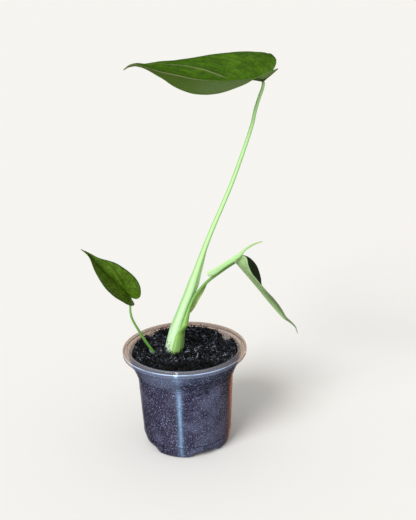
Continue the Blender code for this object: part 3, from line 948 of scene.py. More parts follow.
@dataclass
class Blade:
    """A heart-shaped blade bent along its midrib.

    Both halves are given flat, as an outline by distance along the midrib and from it, and
    each half is folded by an angle that changes along the midrib.
    """

    name: str
    node: str
    slot: str
    midrib: Path
    upper: Triple
    outlines: dict[Side, list[Pair]]
    folds: dict[Side, Table]
    finish: BladeFinish
    lobe_lift: float = 0.0
    lobe_bend: float = 0.8
    lead: float = 0.5
    thickness: float = 0.5
    along: int = 150
    across: int = 44
    relief: float = 1.0
    quilt: float = 0.16
    rib_depth: float = 0.55
    rib_half: float = 1.1
    vein_depth: float = 0.22
    vein_half: float = 0.9
    ripple: float = 0.25
    ripple_scale: float = 0.09
    path: list[Vector] = field(init=False)
    length: float = field(init=False)
    up: Vector = field(init=False)

    def __post_init__(self) -> None:
        """Work out the midrib's path and length."""
        self.path = smooth_through(self.midrib, MIDRIB_POINTS)
        self.length = length_of(self.path)
        self.up = Vector(self.upper).normalized()

    def frame(self, x: float) -> tuple[Vector, Vector, Vector, Vector]:
        """Find the midrib's frame.

        Args:
            x: distance along the midrib.

        Returns:
            The midrib's place there, and its direction, side and upper direction.
        """
        last = len(self.path) - 1
        f = clamp(x / self.length) * last
        i = min(int(f), last - 1)
        place = self.path[i].lerp(self.path[i + 1], f - i)
        ahead = (self.path[min(i + 3, last)] - self.path[max(i - 2, 0)]).normalized()
        side = ahead.cross(self.up).normalized()
        return place, ahead, side, side.cross(ahead)

    def point(self, x: float, y: float, side: Side) -> Vector:
        """Give the place of a flat point, before relief.

        Args:
            x: distance along the midrib, negative behind the stem.
            y: distance from the midrib.
            side: the half that it is on.

        Returns:
            Its place in millimetres.
        """
        place, ahead, across, up = self.frame(x)
        fold = math.radians(look_up(self.folds[side], x))
        spot = place + across * side.value * y * math.cos(fold) + up * y * math.sin(fold)
        if x < 0:
            spot = spot + ahead * x + up * self.lobe_lift * x * x / (self.lobe_bend - x)
        return spot

    def curve(self, side: Side, count: int) -> list[Vector]:
        """Give one half's outline as evenly spread points."""
        return smooth_through([(x, y, 0) for x, y in self.outlines[side]], count)

    def ribs(self) -> tuple[list[float], dict[Side, list[Vector]]]:
        """Lay ribs from the midrib to the outline.

        Returns:
            Where each rib leaves the midrib, and its end on each half's outline.
        """
        flat = {side: self.curve(side, self.along + 1) for side in self.outlines}
        starts: list[float] = []
        for right, left in zip(flat[Side.RIGHT], flat[Side.LEFT]):
            wanted = (right.x + left.x - self.lead * (right.y + left.y)) / 2
            starts.append(max(wanted, starts[-1] if starts else 0.0))
        starts[-1] = self.length
        return starts, flat

    def widths(self) -> dict[Side, list[Pair]]:
        """Measure how wide each half is.

        Returns:
            Pairs of distance along the midrib and half width.
        """
        found = {}
        for side in self.outlines:
            rows: dict[int, float] = {}
            for p in self.curve(side, 240):
                rows[round(p.x)] = max(rows.get(round(p.x), 0.0), p.y)
            found[side] = sorted(rows.items())
        return found

    def bulge(self, x: float, y: float, share: float, side: Side) -> float:
        """Work out the surface's own relief at a flat point.

        Args:
            x: distance along the midrib.
            y: distance from the midrib.
            share: the same as a share of the half's width there.
            side: the half that the point is on.

        Returns:
            How far the surface stands up, in millimetres.
        """
        away = math.log(1.001 - share * 0.97)
        start = (x + self.finish.reach * away) / (1 - self.finish.lean * away)
        turn = (start - self.finish.first_vein) / self.finish.vein_step
        between = math.sin(math.pi * (turn - math.floor(turn)))
        quilt = self.quilt * between * ease(0.0, 0.25, share) * (1 - ease(0.8, 1.0, share))
        rib = -self.rib_depth * math.exp(-(y / self.rib_half) ** 2)
        rib *= 1 - ease(self.length * 0.75, self.length, x)
        strong = 0.0
        if side is Side.RIGHT:
            strong = -self.vein_depth * math.exp(-((start - self.finish.strong_vein) / self.vein_half) ** 2)
            strong *= ease(0.05, 0.2, share)
        scale = self.ripple_scale
        ripple = self.ripple * noise.noise(Vector((x * scale, y * side.value * scale, self.length)))
        return self.relief * (quilt + rib + strong + ripple * ease(0.1, 0.5, share))

    def build(self) -> Object:
        """Model the blade, give it its thickness and dress it.

        Returns:
            The blade.
        """
        starts, flat = self.ribs()
        widths = self.widths()
        flats: list[Triple] = []

        def law(along: float, across: float) -> Vector:
            """Lay one corner of the sheet and keep its flat coordinates.

            Args:
                along: its share along.
                across: its share across.

            Returns:
                Its place.
            """
            i = round(along * self.along)
            side = Side.RIGHT if across > 0.5 else Side.LEFT
            f = abs(across - 0.5) * 2
            end = flat[side][i]
            x = starts[i] + (end.x - starts[i]) * f ** 1.25
            y = end.y * f
            wide = max(look_up(widths[side], x), 0.4)
            flats.append((x, min(y / wide, 1.0) * side.value, y * side.value))
            return self.point(x, y, side)

        item = Bench.sheet(self.name, self.along, self.across, law)
        values = np.array(flats)
        normals = np.zeros(len(item.data.vertices) * 3)
        item.data.vertices.foreach_get("normal", normals)
        normals = normals.reshape(-1, 3)
        middle = Vector(normals[len(normals) // 2])
        turn = 1.0 if middle.dot(self.frame(self.length * 0.4)[3]) > 0 else -1.0
        for vertex, normal, (x, share, y) in zip(item.data.vertices, normals, values):
            side = Side.RIGHT if y > 0 else Side.LEFT
            vertex.co += Vector(normal) * (self.bulge(x, abs(y), abs(share), side) * turn) * MM
        Bench.note(item, "flat", values)
        self.thicken(item, turn < 0)
        Bench.smooth(item, 80)
        return Bench.dress(item, self.node, self.slot, self.finish.material())

    def thicken(self, item: Object, flip: bool) -> None:
        """Turn the sheet into a closed blade and note which points are on its under face.

        Args:
            item: the sheet.
            flip: whether its faces look down and have to be turned over.
        """
        with Bench.editing(item):
            bpy.ops.mesh.remove_doubles(threshold=WELD)
            if flip:
                bpy.ops.mesh.flip_normals()
        count = len(item.data.vertices)
        Bench.solidify(item, self.thickness)
        under = np.zeros(len(item.data.vertices))
        under[count:] = 1.0
        Bench.note(item, "under", under)


# Stems


@dataclass
class Stem:
    """A stem swept along a smooth path, with its diameter read along its length."""

    name: str
    node: str
    slot: str
    path: Path
    widths: Table
    finish: StemFinish
    rings: int = 200
    sides: int = 36
    ridges: int = 9
    ridge: float = 0.012
    cuts: int = 200
    axis: list[Vector] = field(init=False)

    def __post_init__(self) -> None:
        """Work out the places where the stem may be cut."""
        self.axis = smooth_through(self.path, self.cuts)

    def swell(self, share: float, turn: float, height: float) -> float:
        """Give how far the surface stands out at a share along and a turn round, as a factor."""
        return 1 + self.ridge * math.cos(self.ridges * turn + 3 * share)

    def cut(self, height: float) -> tuple[Vector, float]:
        """Cut the stem at a height.

        Args:
            height: the height of the cut.

        Returns:
            The middle of the cut and its radius.
        """
        best = min(range(self.cuts), key=lambda i: abs(self.axis[i].z - height))
        return self.axis[best], look_up(self.widths, best / (self.cuts - 1)) / 2

    def build(self) -> Object:
        """Sweep the stem and dress it.

        Returns:
            The stem.
        """
        path = smooth_through(self.path, self.rings + 1)
        step = length_of(path) / self.rings
        sides = []
        side = FRONT
        for ahead in headings(path):
            side = square_to(ahead, side)
            sides.append((side, ahead.cross(side)))

        def law(along: float, across: float) -> Corner:
            """Lay one corner of the rolled sheet.

            Args:
                along: its share along.
                across: its share across.

            Returns:
                Its place and its grain.
            """
            i = round(along * self.rings)
            turn = FULL_TURN * across
            radius = look_up(self.widths, along) / 2 * self.swell(along, turn, path[i].z)
            front, right = sides[i]
            place = path[i] + front * math.cos(turn) * radius + right * math.sin(turn) * radius
            return place, (math.cos(turn), math.sin(turn), i * step)

        item = Bench.roll(self.name, self.rings, self.sides, law)
        return Bench.dress(item, self.node, self.slot, self.finish.material())


@dataclass
class TallStem(Stem):
    """The main stem: a pale stalk with a thin raised margin on one side low down."""

    margin_turn: float = 80.0
    margin_half: float = 7.0
    margin_low: float = 112.0
    margin_high: float = 150.0
    margin_rise: float = 0.34

    def swell(self, share: float, turn: float, height: float) -> float:
        """Add the margin to the fine ridges.

        Args:
            share: the share along the stem.
            turn: the turn round it in radians.
            height: the height in millimetres.

        Returns:
            The factor for the radius.
        """
        away = (math.degrees(turn) - self.margin_turn + 180) % 360 - 180
        strip = math.exp(-(away / self.margin_half) ** 2)
        strip *= ease(self.margin_low, self.margin_low + 12, height)
        strip *= 1 - ease(self.margin_high - 14, self.margin_high, height)
        return super().swell(share, turn, height) + self.margin_rise * strip


@dataclass
class SideStem:
    """The second stem, whose foot clasps the main stem.

    Each row of the clasp holds a height, the turns where it starts and ends, and its thickness.
    """

    main: Stem
    name: str = "side_stem"
    node: str = "second_stem"
    slot: str = "green_stem"
    clasp: Sequence[tuple[float, float, float, float]] = (
        (58.0, -102.0, 18.0, 1.5), (64.0, -103.0, 20.0, 1.8), (70.0, -102.0, 20.0, 1.9),
        (76.0, -98.0, 18.0, 1.9), (82.0, -92.0, 14.0, 1.9), (86.5, -84.0, 9.0, 1.9))
    edge: float = 0.7
    gap: float = 0.05
    rib: float = 0.09
    rib_count: float = 8.5
    path: Path = (
        (0.9, -2.9, 92.6), (3.1, -1.9, 100.4), (5.2, -1.1, 106.5), (7.5, -0.7, 111.5), (9.9, -0.5, 115.7),
        (13.6, -0.6, 120.1), (16.9, -0.8, 123.8), (20.5, -1.0, 127.0), (24.8, -1.0, 130.2),
        (29.1, -0.9, 133.2), (33.7, -0.6, 136.2), (37.6, 0.0, 138.4))
    widths: Table = ((0.0, 4.2), (0.09, 3.4), (0.2, 2.4), (0.8, 2.2), (1.0, 2.0))
    out_turn: float = -38.0
    steps: int = 30
    half: int = 40
    finish: StemFinish = StemFinish(
        "green_stem", foot=(0.60, 1.0, 0.34), middle=(0.31, 0.60, 0.14), top=(0.18, 0.38, 0.085),
        flank=(0.06, 0.15, 0.022), side_shade_share=0.35, length=66.0, streaks=0.45)

    def ring(self, height: float, first: float, last: float, thick: float) -> list[Vector]:
        """Lay a crescent that hugs the main stem.

        Args:
            height: its height.
            first: the turn where it starts, in degrees.
            last: the turn where it ends.
            thick: its thickness in the middle.

        Returns:
            An even number of points, outer side first.
        """
        middle, radius = self.main.cut(height)
        inner = radius * 1.02 + self.gap
        points = []
        for k in range(self.half + 1):
            u = k / self.half
            crown = math.sin(math.pi * u)
            rib = self.rib * math.sin(FULL_TURN * u * self.rib_count) * crown
            deep = self.edge + (thick - self.edge) * crown + rib
            points.append(middle + outward(math.radians(first + (last - first) * u)) * (inner + deep))
        for k in range(1, self.half):
            points.append(middle + outward(math.radians(last + (first - last) * k / self.half)) * inner)
        return points

    def stations(self) -> list[list[Vector]]:
        """Lay the rings from the clasping foot to the end.

        Returns:
            The rings, each with the same number of points.
        """
        rings = [self.ring(*row) for row in self.clasp]
        path = smooth_through(self.path, self.steps)
        out = outward(math.radians(self.out_turn))
        for i, (p, ahead) in enumerate(zip(path, headings(path))):
            out = square_to(ahead, out)
            along = ahead.cross(out)
            radius = look_up(self.widths, i / (self.steps - 1)) / 2
            turns = [math.pi * (k / self.half) - math.pi / 2 for k in range(2 * self.half)]
            rings.append([p + out * math.cos(a) * radius + along * math.sin(a) * radius for a in turns])
        return rings

    def build(self) -> Object:
        """Sweep the clasp and the stem in one and dress them.

        Returns:
            The stem.
        """
        rings = self.stations()
        rows = 4 * (len(rings) - 1)
        around = 2 * self.half
        lines = [smooth_through([ring[k] for ring in rings], rows + 1) for k in range(around)]
        foot = self.clasp[0][0]

        def law(along: float, across: float) -> Corner:
            """Lay one corner of the rolled sheet.

            Args:
                along: its share along.
                across: its share across.

            Returns:
                Its place and its grain.
            """
            k = round(across * around) % around
            place = lines[k][round(along * rows)]
            turn = FULL_TURN * k / around
            return place, (math.cos(turn), math.sin(turn), place.z - foot)

        item = Bench.roll(self.name, rows, around, law)
        return Bench.dress(item, self.node, self.slot, self.finish.material())


@dataclass
class Sheath:
    """The pale sheath bar with its pointed tail."""

    name: str = "pale_sheath"
    node: str = "second_sheath"
    slot: str = "pale_sheath"
    path: Path = (
        (18.1, -3.2, 131.2), (22.5, -3.3, 132.8), (27.0, -3.3, 135.7), (30.5, -3.4, 138.0),
        (34.8, -3.8, 140.8), (38.3, -4.3, 143.3), (41.1, -4.8, 145.6), (43.3, -5.0, 148.1),
        (45.6, -5.0, 150.1), (48.4, -5.0, 151.8), (51.2, -5.0, 153.2), (53.6, -5.0, 154.0),
        (56.6, -5.0, 154.9))
    heights: Table = (
        (0.0, 3.8), (0.1, 4.5), (0.22, 3.8), (0.34, 3.4), (0.54, 3.4), (0.62, 2.6), (0.7, 1.8),
        (0.85, 1.4), (1.0, 0.6))
    depths: Table = ((0.0, 1.4), (0.6, 1.4), (0.75, 1.0), (1.0, 0.5))
    ridges: int = 5
    ridge: float = 0.05
    rings: int = 120
    sides: int = 28
    finish: StemFinish = StemFinish(
        "pale_sheath", foot=(0.58, 0.84, 0.46), middle=(0.48, 0.80, 0.34), top=(0.38, 0.52, 0.15),
        flank=(0.24, 0.50, 0.12), side_shade_share=0.5, length=50.0, streaks=0.35)

    def build(self) -> Object:
        """Sweep the oval bar and dress it.

        Returns:
            The sheath.
        """
        path = smooth_through(self.path, self.rings + 1)
        ways = headings(path)
        step = length_of(path) / self.rings

        def law(along: float, across: float) -> Corner:
            """Lay one corner of the rolled sheet.

            Args:
                along: its share along.
                across: its share across.

            Returns:
                Its place and its grain.
            """
            i = round(along * self.rings)
            front = square_to(ways[i], FRONT)
            turn = FULL_TURN * across
            crest = 1 + self.ridge * math.cos(self.ridges * turn)
            tall, deep = look_up(self.heights, along) / 2, look_up(self.depths, along) / 2 * crest
            place = path[i] + ways[i].cross(front) * math.cos(turn) * tall + front * math.sin(turn) * deep
            return place, (math.sin(turn), math.cos(turn), i * step)

        item = Bench.roll(self.name, self.rings, self.sides, law)
        return Bench.dress(item, self.node, self.slot, self.finish.material())


@dataclass
class Wing:
    """The thin dry margin behind the second stem."""

    name: str = "dry_wing"
    node: str = "second_wing"
    slot: str = "olive_margin"
    inner: Path = (
        (4.8, 1.3, 101.3), (5.8, 1.3, 105.6), (7.8, 1.3, 110.7), (10.3, 1.3, 115.0),
        (14.0, 1.3, 119.3), (16.9, 1.3, 122.8))
    outer: Path = (
        (5.2, 1.3, 100.4), (8.4, 1.3, 104.4), (11.7, 1.3, 110.4), (14.4, 1.3, 115.2),
        (16.5, 1.3, 119.6), (17.7, 1.3, 122.4))
    thickness: float = 0.6
    crown: float = 0.25
    wave: float = 0.12
    rows: int = 60
    columns: int = 12
    finish: WingFinish = WingFinish()

    def build(self) -> Object:
        """Model the wing and dress it.

        Returns:
            The wing.
        """
        low = smooth_through(self.inner, self.rows + 1)
        high = smooth_through(self.outer, self.rows + 1)

        def law(along: float, across: float) -> Vector:
            """Lay one corner of the sheet.

            Args:
                along: its share along.
                across: its share across.

            Returns:
                Its place.
            """
            i = round(along * self.rows)
            depth = self.crown * math.sin(math.pi * across) + self.wave * math.sin(9 * along + 4 * across)
            return low[i].lerp(high[i], across) + Vector((0, depth, 0))

        item = Bench.sheet(self.name, self.rows, self.columns, law)
        Bench.solidify(item, self.thickness)
        Bench.smooth(item, 60)
        return Bench.dress(item, self.node, self.slot, self.finish.material())


# Pot


@dataclass
class Pot:
    """The turned nursery pot: flared top, flat flange, notched foot with drain holes.

    Each row of the lip holds a radius from the rim's edge, a height from its top and a share
    of the inner face. Each moulded ring holds a height, how far it stands out and its half width.
    """

    height: float = 74.5
    rim_radius: float = 45.0
    wall: float = 0.8
    side: Table = (
        (29.5, 0.0), (31.0, 1.4), (31.6, 4.0), (32.0, 6.5), (32.6, 10.5), (33.4, 25.0),
        (34.1, 40.0), (34.6, 50.0), (35.0, 54.0), (36.3, 58.0), (38.0, 62.0), (39.7, 66.0),
        (41.1, 71.4))
    inner_low: float = 2.4
    inner_high: float = 71.3
    lip: Path = (
        (-2.6, -2.5, 0.0), (-1.4, -2.2, 0.0), (-0.9, -2.0, 0.0), (-0.8, -3.1, 0.0), (-0.5, -3.3, 0.0),
        (-0.1, -3.1, 0.0), (0.0, -2.0, 0.0), (0.0, -0.5, 0.0), (-0.15, -0.12, 0.0), (-0.5, 0.0, 0.0),
        (-0.9, -0.05, 0.5), (-1.1, -0.35, 1.0), (-2.2, -0.38, 1.0), (-2.5, -0.1, 1.0), (-2.9, -0.05, 1.0),
        (-3.3, -0.35, 1.0), (-3.6, -0.4, 1.0), (-4.0, 0.15, 1.0), (-4.6, 0.3, 1.0), (-5.2, 0.1, 1.0),
        (-5.45, -0.5, 1.0), (-5.2, -1.2, 1.0), (-4.8, -2.2, 1.0))
    notch_count: int = 4
    notch_turn: float = -64.0
    notch_half: float = 19.0
    notch_edge: float = 5.0
    notch_lift: float = 3.1
    notch_start: float = 13.0
    notch_fade: float = 9.0
    drain_radius: float = 2.2
    drain_reach: float = 22.0
    rings: Path = (
        (9.6, 0.22, 0.7), (43.5, 0.14, 0.6), (56.2, 0.28, 0.8), (60.5, 0.14, 0.5), (63.6, 0.14, 0.5),
        (66.7, 0.14, 0.5), (69.8, 0.14, 0.5))
    columns: int = 144
    finish: PlasticFinish = PlasticFinish()

    def raised(self, x: float, y: float, height: float) -> Vector:
        """Lift a place near the foot where a drainage notch is.

        Args:
            x: its place across.
            y: its place in depth.
            height: its height without the notches.

        Returns:
            The place with the notch's lift, which fades out upwards.
        """
        turn = math.degrees(math.atan2(y, x))
        step = 360 / self.notch_count
        away = abs((turn - self.notch_turn + step / 2) % step - step / 2)
        across = 1 - ease(self.notch_half - self.notch_edge, self.notch_half + self.notch_edge, away)
        lift = self.notch_lift * across * ease(self.notch_start, self.notch_start + 4, math.hypot(x, y))
        return Vector((x, y, height + lift * clamp(1 - height / self.notch_fade)))

    def outer_side(self) -> list[Vector]:
        """Give the outer side as a fine curve with its moulded rings.

        Returns:
            Its points, with the radius as x.
        """
        curve = smooth_through([(r, 0, z) for r, z in self.side], 120)
        for p in curve:
            for height, depth, wide in self.rings:
                p.x += depth * math.exp(-((p.z - height) / wide) ** 2)
        return curve

    def profile(self) -> list[Triple]:
        """Give the closed profile from the axis round to the axis.

        Returns:
            Rows of radius, height and share of the inner face.
        """
        outer = self.outer_side()
        rows = [(r, 0.0, 0.0) for r in (0.0, 6.0, self.notch_start, 15.0, 17.0, 20.0, 23.0, 27.0)]
        rows += [(p.x, p.z, 0.0) for p in outer]
        rows += [(self.rim_radius + out, self.height + up, face) for out, up, face in self.lip]
        rows += [(p.x - self.wall, p.z, 1.0) for p in reversed(outer)
                 if self.inner_low < p.z < self.inner_high]
        rows += [(30.1, 2.2, 1.0), (28.9, self.wall, 1.0)]
        rows += [(r, self.wall, 1.0) for r in (26.0, 23.0, 20.0, 17.0, 15.0, self.notch_start, 6.0, 0.0)]
        return rows

    def build(self) -> Object:
        """Turn the pot, drill its drain holes and dress it.

        Returns:
            The pot.
        """
        rows = self.profile()
        count = len(rows) - 1

        def law(along: float, across: float) -> Vector:
            """Lay one corner of the turned sheet."""
            radius, height, _ = rows[round(along * count)]
            return self.raised(*polar(radius, FULL_TURN * across), height)

        item = Bench.sheet("clear_pot", count, self.columns, law)
        Bench.note(item, "inner", np.tile([row[2] for row in rows], self.columns + 1))
        Bench.weld(item)
        self.drill(item)
        Bench.smooth(item, 50)
        return Bench.dress(item, "pot", "smoky_plastic", self.finish.material())

    def drill(self, item: Object) -> None:
        """Cut the drain holes under the notches.

        Args:
            item: the turned pot.
        """
        for k in range(self.notch_count):
            x, y = polar(self.drain_reach, math.radians(self.notch_turn + 360 * k / self.notch_count))
            Bench.clear()
            bpy.ops.mesh.primitive_cylinder_add(
                vertices=32, radius=self.drain_radius * MM, depth=9 * MM, location=(x * MM, y * MM, 3.5 * MM))
            cutter = Bench.named("drain_cutter")
            Bench.apply(item, "BOOLEAN", operation="DIFFERENCE", solver="EXACT", object=cutter)
            bpy.data.objects.remove(cutter, do_unlink=True)


# Soil


def spin(angle: float, axis: Union[str, Vector]) -> Matrix:
    """Give a turn in radians about an axis."""
    return Matrix.Rotation(angle, 4, axis)


def put(place: Sequence[float], size: Sequence[float], *turns: Matrix) -> Matrix:
    """Join a place, a size and turns into one matrix.

    Args:
        place: where the copy goes.
        size: its size along each of its own axes.
        turns: the turns that it gets, the last one first.

    Returns:
        The matrix.
    """
    made = Matrix.Translation(place)
    for turn in turns:
        made = made @ turn
    return made @ Matrix.Diagonal((*size, 1))


@dataclass
class Soil:
    """The soil: a lumpy filling, loose crumbs and dark fibres.

    The banks give its height along the wall by the turn. The places of the stems hold x, y and
    the radius that is kept free, and the clasp holds two turns and the wider radius between them.
    Sizes of crumbs and shreds hold the least and what chance may add. Each standing fibre holds
    x, y, a lean in degrees and a length.
    """

    pot: Pot
    tall: Stem
    level: float = 70.0
    lump: float = 1.3
    grain: float = 0.5
    fine: float = 1.1
    finer: float = 0.6
    seed: float = 4.0
    dry: float = 1.02
    dry_patch: float = 0.42
    # How much painted shade darkens the soil towards the front.
    front_shade: float = 0.5
    least_dry: float = 0.3
    banks: Table = (
        (-180, 70.6), (-165, 71.6), (-90, 71.2), (-20, 71.8), (8, 72.2), (22, 72.0), (28, 68.8),
        (35, 66.8), (41, 67.0), (46, 71.0), (52, 72.2), (87, 73.2), (108, 72.6), (122, 72.8),
        (129, 70.8), (137, 70.0), (142, 72.6), (150, 73.2), (165, 72.6), (174, 70.8), (180, 70.6))
    bank_from: float = 29.0
    bank_to: float = 38.0
    brim: float = 71.5
    gap: float = 0.3
    columns: int = 200
    top_rows: int = 76
    crumbs: int = 1300
    crumb_reach: float = 37.5
    crumb_sizes: Pair = (0.45, 0.9)
    shreds: int = 4240
    shred_reach: float = 38.0
    shred_lengths: Pair = (1.1, 2.3)
    shred_widths: Pair = (0.46, 0.5)
    shred_lean: float = 30.0
    shred_limit: float = 39.0
    clinging: int = 90
    tall_place: Triple = (-8.8, 3.0, 5.7)
    clasp: Triple = (-106.0, 24.0, 7.9)
    thin_place: Triple = (-21.1, -3.0, 1.1)
    standing: Sequence[tuple[float, float, float, float]] = (
        (26.5, 19.5, 62, 3.4), (28.5, 20.5, 80, 3.8), (24.0, 21.0, 40, 3.0))
    any_turn: float = 6.28
    crumb_seed: int = 11
    shred_seed: int = 23
    cling_seed: int = 31
    bed_finish: BedFinish = BedFinish()
    crumb_finish: ChipFinish = ChipFinish(
        "potting_soil_crumbs", dark=(0.003, 0.003, 0.004), middle=(0.018, 0.018, 0.024),
        pale=(0.08, 0.085, 0.11), roughness=0.6)
    shred_finish: ChipFinish = ChipFinish(
        "potting_soil_shreds", dark=(0.002, 0.002, 0.002), middle=(0.056, 0.062, 0.086),
        pale=(0.37, 0.40, 0.51), roughness=0.42)

    def waves(self, x: float, y: float, scale: float, shift: float) -> float:
        """Give smooth random waves of about -1 to 1 at a place."""
        return noise.noise(Vector((x * scale, y * scale, self.seed + shift)))

    def height(self, x: float, y: float) -> float:
        """Find the height of the soil's surface with its lumps and grain.

        Args:
            x: the place across.
            y: the place in depth.

        Returns:
            The height in millimetres.
        """
        edge = ease(self.bank_from, self.bank_to, math.hypot(x, y))
        bank = look_up(self.banks, math.degrees(math.atan2(y, x)))
        inside = self.level + self.lump * self.waves(x, y, 0.13, 0)
        top = inside + (bank - inside) * edge + self.grain * self.waves(x, y, 0.4, 9) * (1 - 0.6 * edge)
        return top + self.fine * self.waves(x, y, 0.9, 20) + self.finer * self.waves(x, y, 2.1, 31)

    def profile(self) -> list[Pair]:
        """Give the side of the filling, from the middle of its floor.

        Returns:
            Pairs of radius and height.
        """
        inset = self.pot.wall + self.gap
        rows = [(radius, inset) for radius in (0.0, 8.0, 13.0, 15.0, 17.0, 23.0, 28.4)]
        side = smooth_through([(r - inset, 0, z) for r, z in self.pot.side[2:-1]], 40)
        return rows + [(29.8, 2.7)] + [(p.x, p.z) for p in side]

    def build_bed(self) -> Object:
        """Model the filling with its lumpy top and dress it.

        Returns:
            The bed.
        """
        side = self.profile()
        last = len(side) - 1
        rows = last + self.top_rows

        def law(along: float, across: float) -> Vector:
            """Lay one corner of the turned filling: first up its side, then in over its top.

            Args:
                along: its share along.
                across: its share across.

            Returns:
                Its place.
            """
            i = round(along * rows)
            turn = FULL_TURN * across
            if i < last:
                return self.pot.raised(*polar(side[i][0], turn), side[i][1])
            x, y = polar(side[last][0] * (1 - (i - last) / self.top_rows), turn)
            height = self.height(x, y)
            return Vector((x, y, min(height - 0.3, self.brim) if i == last else height))

        item = Bench.sheet("soil_bed", rows, self.columns, law)
        Bench.note(item, "side", np.tile([float(i <= last) for i in range(rows + 1)], self.columns + 1))
        Bench.weld(item)
        Bench.smooth(item, 180)
        return Bench.dress(item, "soil", "potting_soil", self.bed_finish.material())

    def free(self, x: float, y: float) -> bool:
        """Tell whether no stem stands at a place.

        Args:
            x: the place across.
            y: the place in depth.

        Returns:
            True where it is free.
        """
        if math.hypot(x - self.thin_place[0], y - self.thin_place[1]) < self.thin_place[2]:
            return False
        right, back = x - self.tall_place[0], y - self.tall_place[1]
        first, last, wide = self.clasp
        clasped = first < math.degrees(math.atan2(back, right)) < last
        return math.hypot(right, back) > (wide if clasped else self.tall_place[2])

    def spot(self, dice: random.Random, reach: float) -> Pair:
        """Pick a place on the soil that no stem stands in.

        Args:
            dice: the random draws.
            reach: how far out it may be.

        Returns:
            The place.
        """
        while True:
            radius = reach * math.sqrt(dice.random())
            x, y = polar(radius, dice.random() * 2 * math.pi)
            if self.free(x, y):
                return x, y

    def dry_tone_and_front_shade(self, x: float, y: float) -> float:
        """Give the soil's tone at a place: paler where it is drier, and darker towards the front as painted
        shade.
        """
        dry = self.dry + self.dry_patch * self.waves(x, y, 0.075, 50)
        return min(max(dry - ease(12, 32, -y) * self.front_shade, self.least_dry), 1.0)

    def scatter(self, name: str, model: Object, places: list[Matrix], finish: ChipFinish) -> Object:
        """Copy a small shape to many places as one mesh and dress it.

        Args:
            name: the piece's name.
            model: the shape to copy. It is removed afterwards.
            places: where each copy goes, in millimetres.
            finish: the finish of all the copies.

        Returns:
            The piece.
        """
        dice = random.Random(len(places))
        base = np.zeros(len(model.data.vertices) * 3)
        model.data.vertices.foreach_get("co", base)
        base = base.reshape(-1, 3) / MM
        faces = [tuple(f.vertices) for f in model.data.polygons]
        points, polygons = [], []
        for k, matrix in enumerate(places):
            m = np.array(matrix)
            points.append(base @ m[:3, :3].T + m[:3, 3])
            polygons += [tuple(i + k * len(base) for i in face) for face in faces]
        mesh = bpy.data.meshes.new(name)
        mesh.from_pydata((np.concatenate(points) * MM).tolist(), [], polygons)
        mesh.update()
        bpy.data.objects.remove(model, do_unlink=True)
        item = bpy.data.objects.new(name, mesh)
        bpy.context.scene.collection.objects.link(item)
        # Each bit's tone is random, paler where the soil is drier and darker towards the front as painted
        # shade.
        tones = [dice.random() * self.dry_tone_and_front_shade(m.translation.x, m.translation.y) for m in places]
        Bench.note(item, "tone", np.repeat(tones, len(base)))
        return Bench.dress(item, "soil", "potting_soil", finish.material())

    def build_crumbs(self) -> Object:
        """Model one crumb and scatter its copies, half sunk, over the bed.

        Returns:
            The crumbs as one piece.
        """
        Bench.clear()
        bpy.ops.mesh.primitive_ico_sphere_add(subdivisions=2, radius=1 * MM)
        model = Bench.named("crumb")
        for vertex in model.data.vertices:
            vertex.co *= 1 + 0.45 * noise.noise(vertex.co / MM * 1.3 + Vector((7, 1, 4)))
        dice = random.Random(self.crumb_seed)
        places = []
        for _ in range(self.crumbs):
            x, y = self.spot(dice, self.crumb_reach)
            size = self.crumb_sizes[0] + self.crumb_sizes[1] * dice.random() ** 2
            angle = dice.random() * self.any_turn
            axis = Vector((dice.random() - 0.5, dice.random() - 0.5, dice.random() + 0.1)).normalized()
            shape = (size, size * (0.5 + 0.5 * dice.random()), size * (0.5 + 0.4 * dice.random()))
            places.append(put((x, y, self.height(x, y) + size * 0.25), shape, spin(angle, axis)))
        return self.scatter("soil_crumbs", model, places, self.crumb_finish)

    def cling(self) -> list[Matrix]:
        """Place the short fibres that stick to the foot of the main stem and its clasp.

        Returns:
            Where each goes.
        """
        dice = random.Random(self.cling_seed)
        places = []
        for k in range(self.clinging):
            stuck = k % 5 == 0
            height = 71.0 + (8.5 * dice.random() if stuck else 2.6 * dice.random() ** 1.5)
            turn = 150.0 + 100.0 * dice.random() if stuck else 130.0 + 230.0 * dice.random()
            middle, radius = self.tall.cut(height)
            angle = math.radians(turn)
            out = radius + (2.2 if turn > 360 + self.clasp[0] else 0.1)
            size = 0.45 + 0.5 * dice.random() if stuck else 0.9 + 0.9 * dice.random()
            lean = math.radians(dice.gauss(0, 35) if stuck else dice.gauss(50, 25))
            places.append(put(middle + outward(angle) * out, (size, 0.5, 0.45),
                              spin(angle + math.pi / 2, "Z"), spin(lean, "Y")))
        return places

    def build_shreds(self) -> Object:
        """Model one bent fibre and scatter its copies over the bed.

        Returns:
            The fibres as one piece.
        """
        def law(along: float, across: float) -> Vector:
            """Lay one corner of the fibre.

            Args:
                along: its share along.
                across: its share across.

            Returns:
                Its place.
            """
            turn = FULL_TURN * across
            thin = 0.16 + 0.34 * math.sin(math.pi * (0.12 + 0.76 * along))
            bend = 0.3 * math.sin(math.pi * along)
            return Vector((along * 2 - 1, math.cos(turn) * thin, math.sin(turn) * thin * 0.42 + bend))

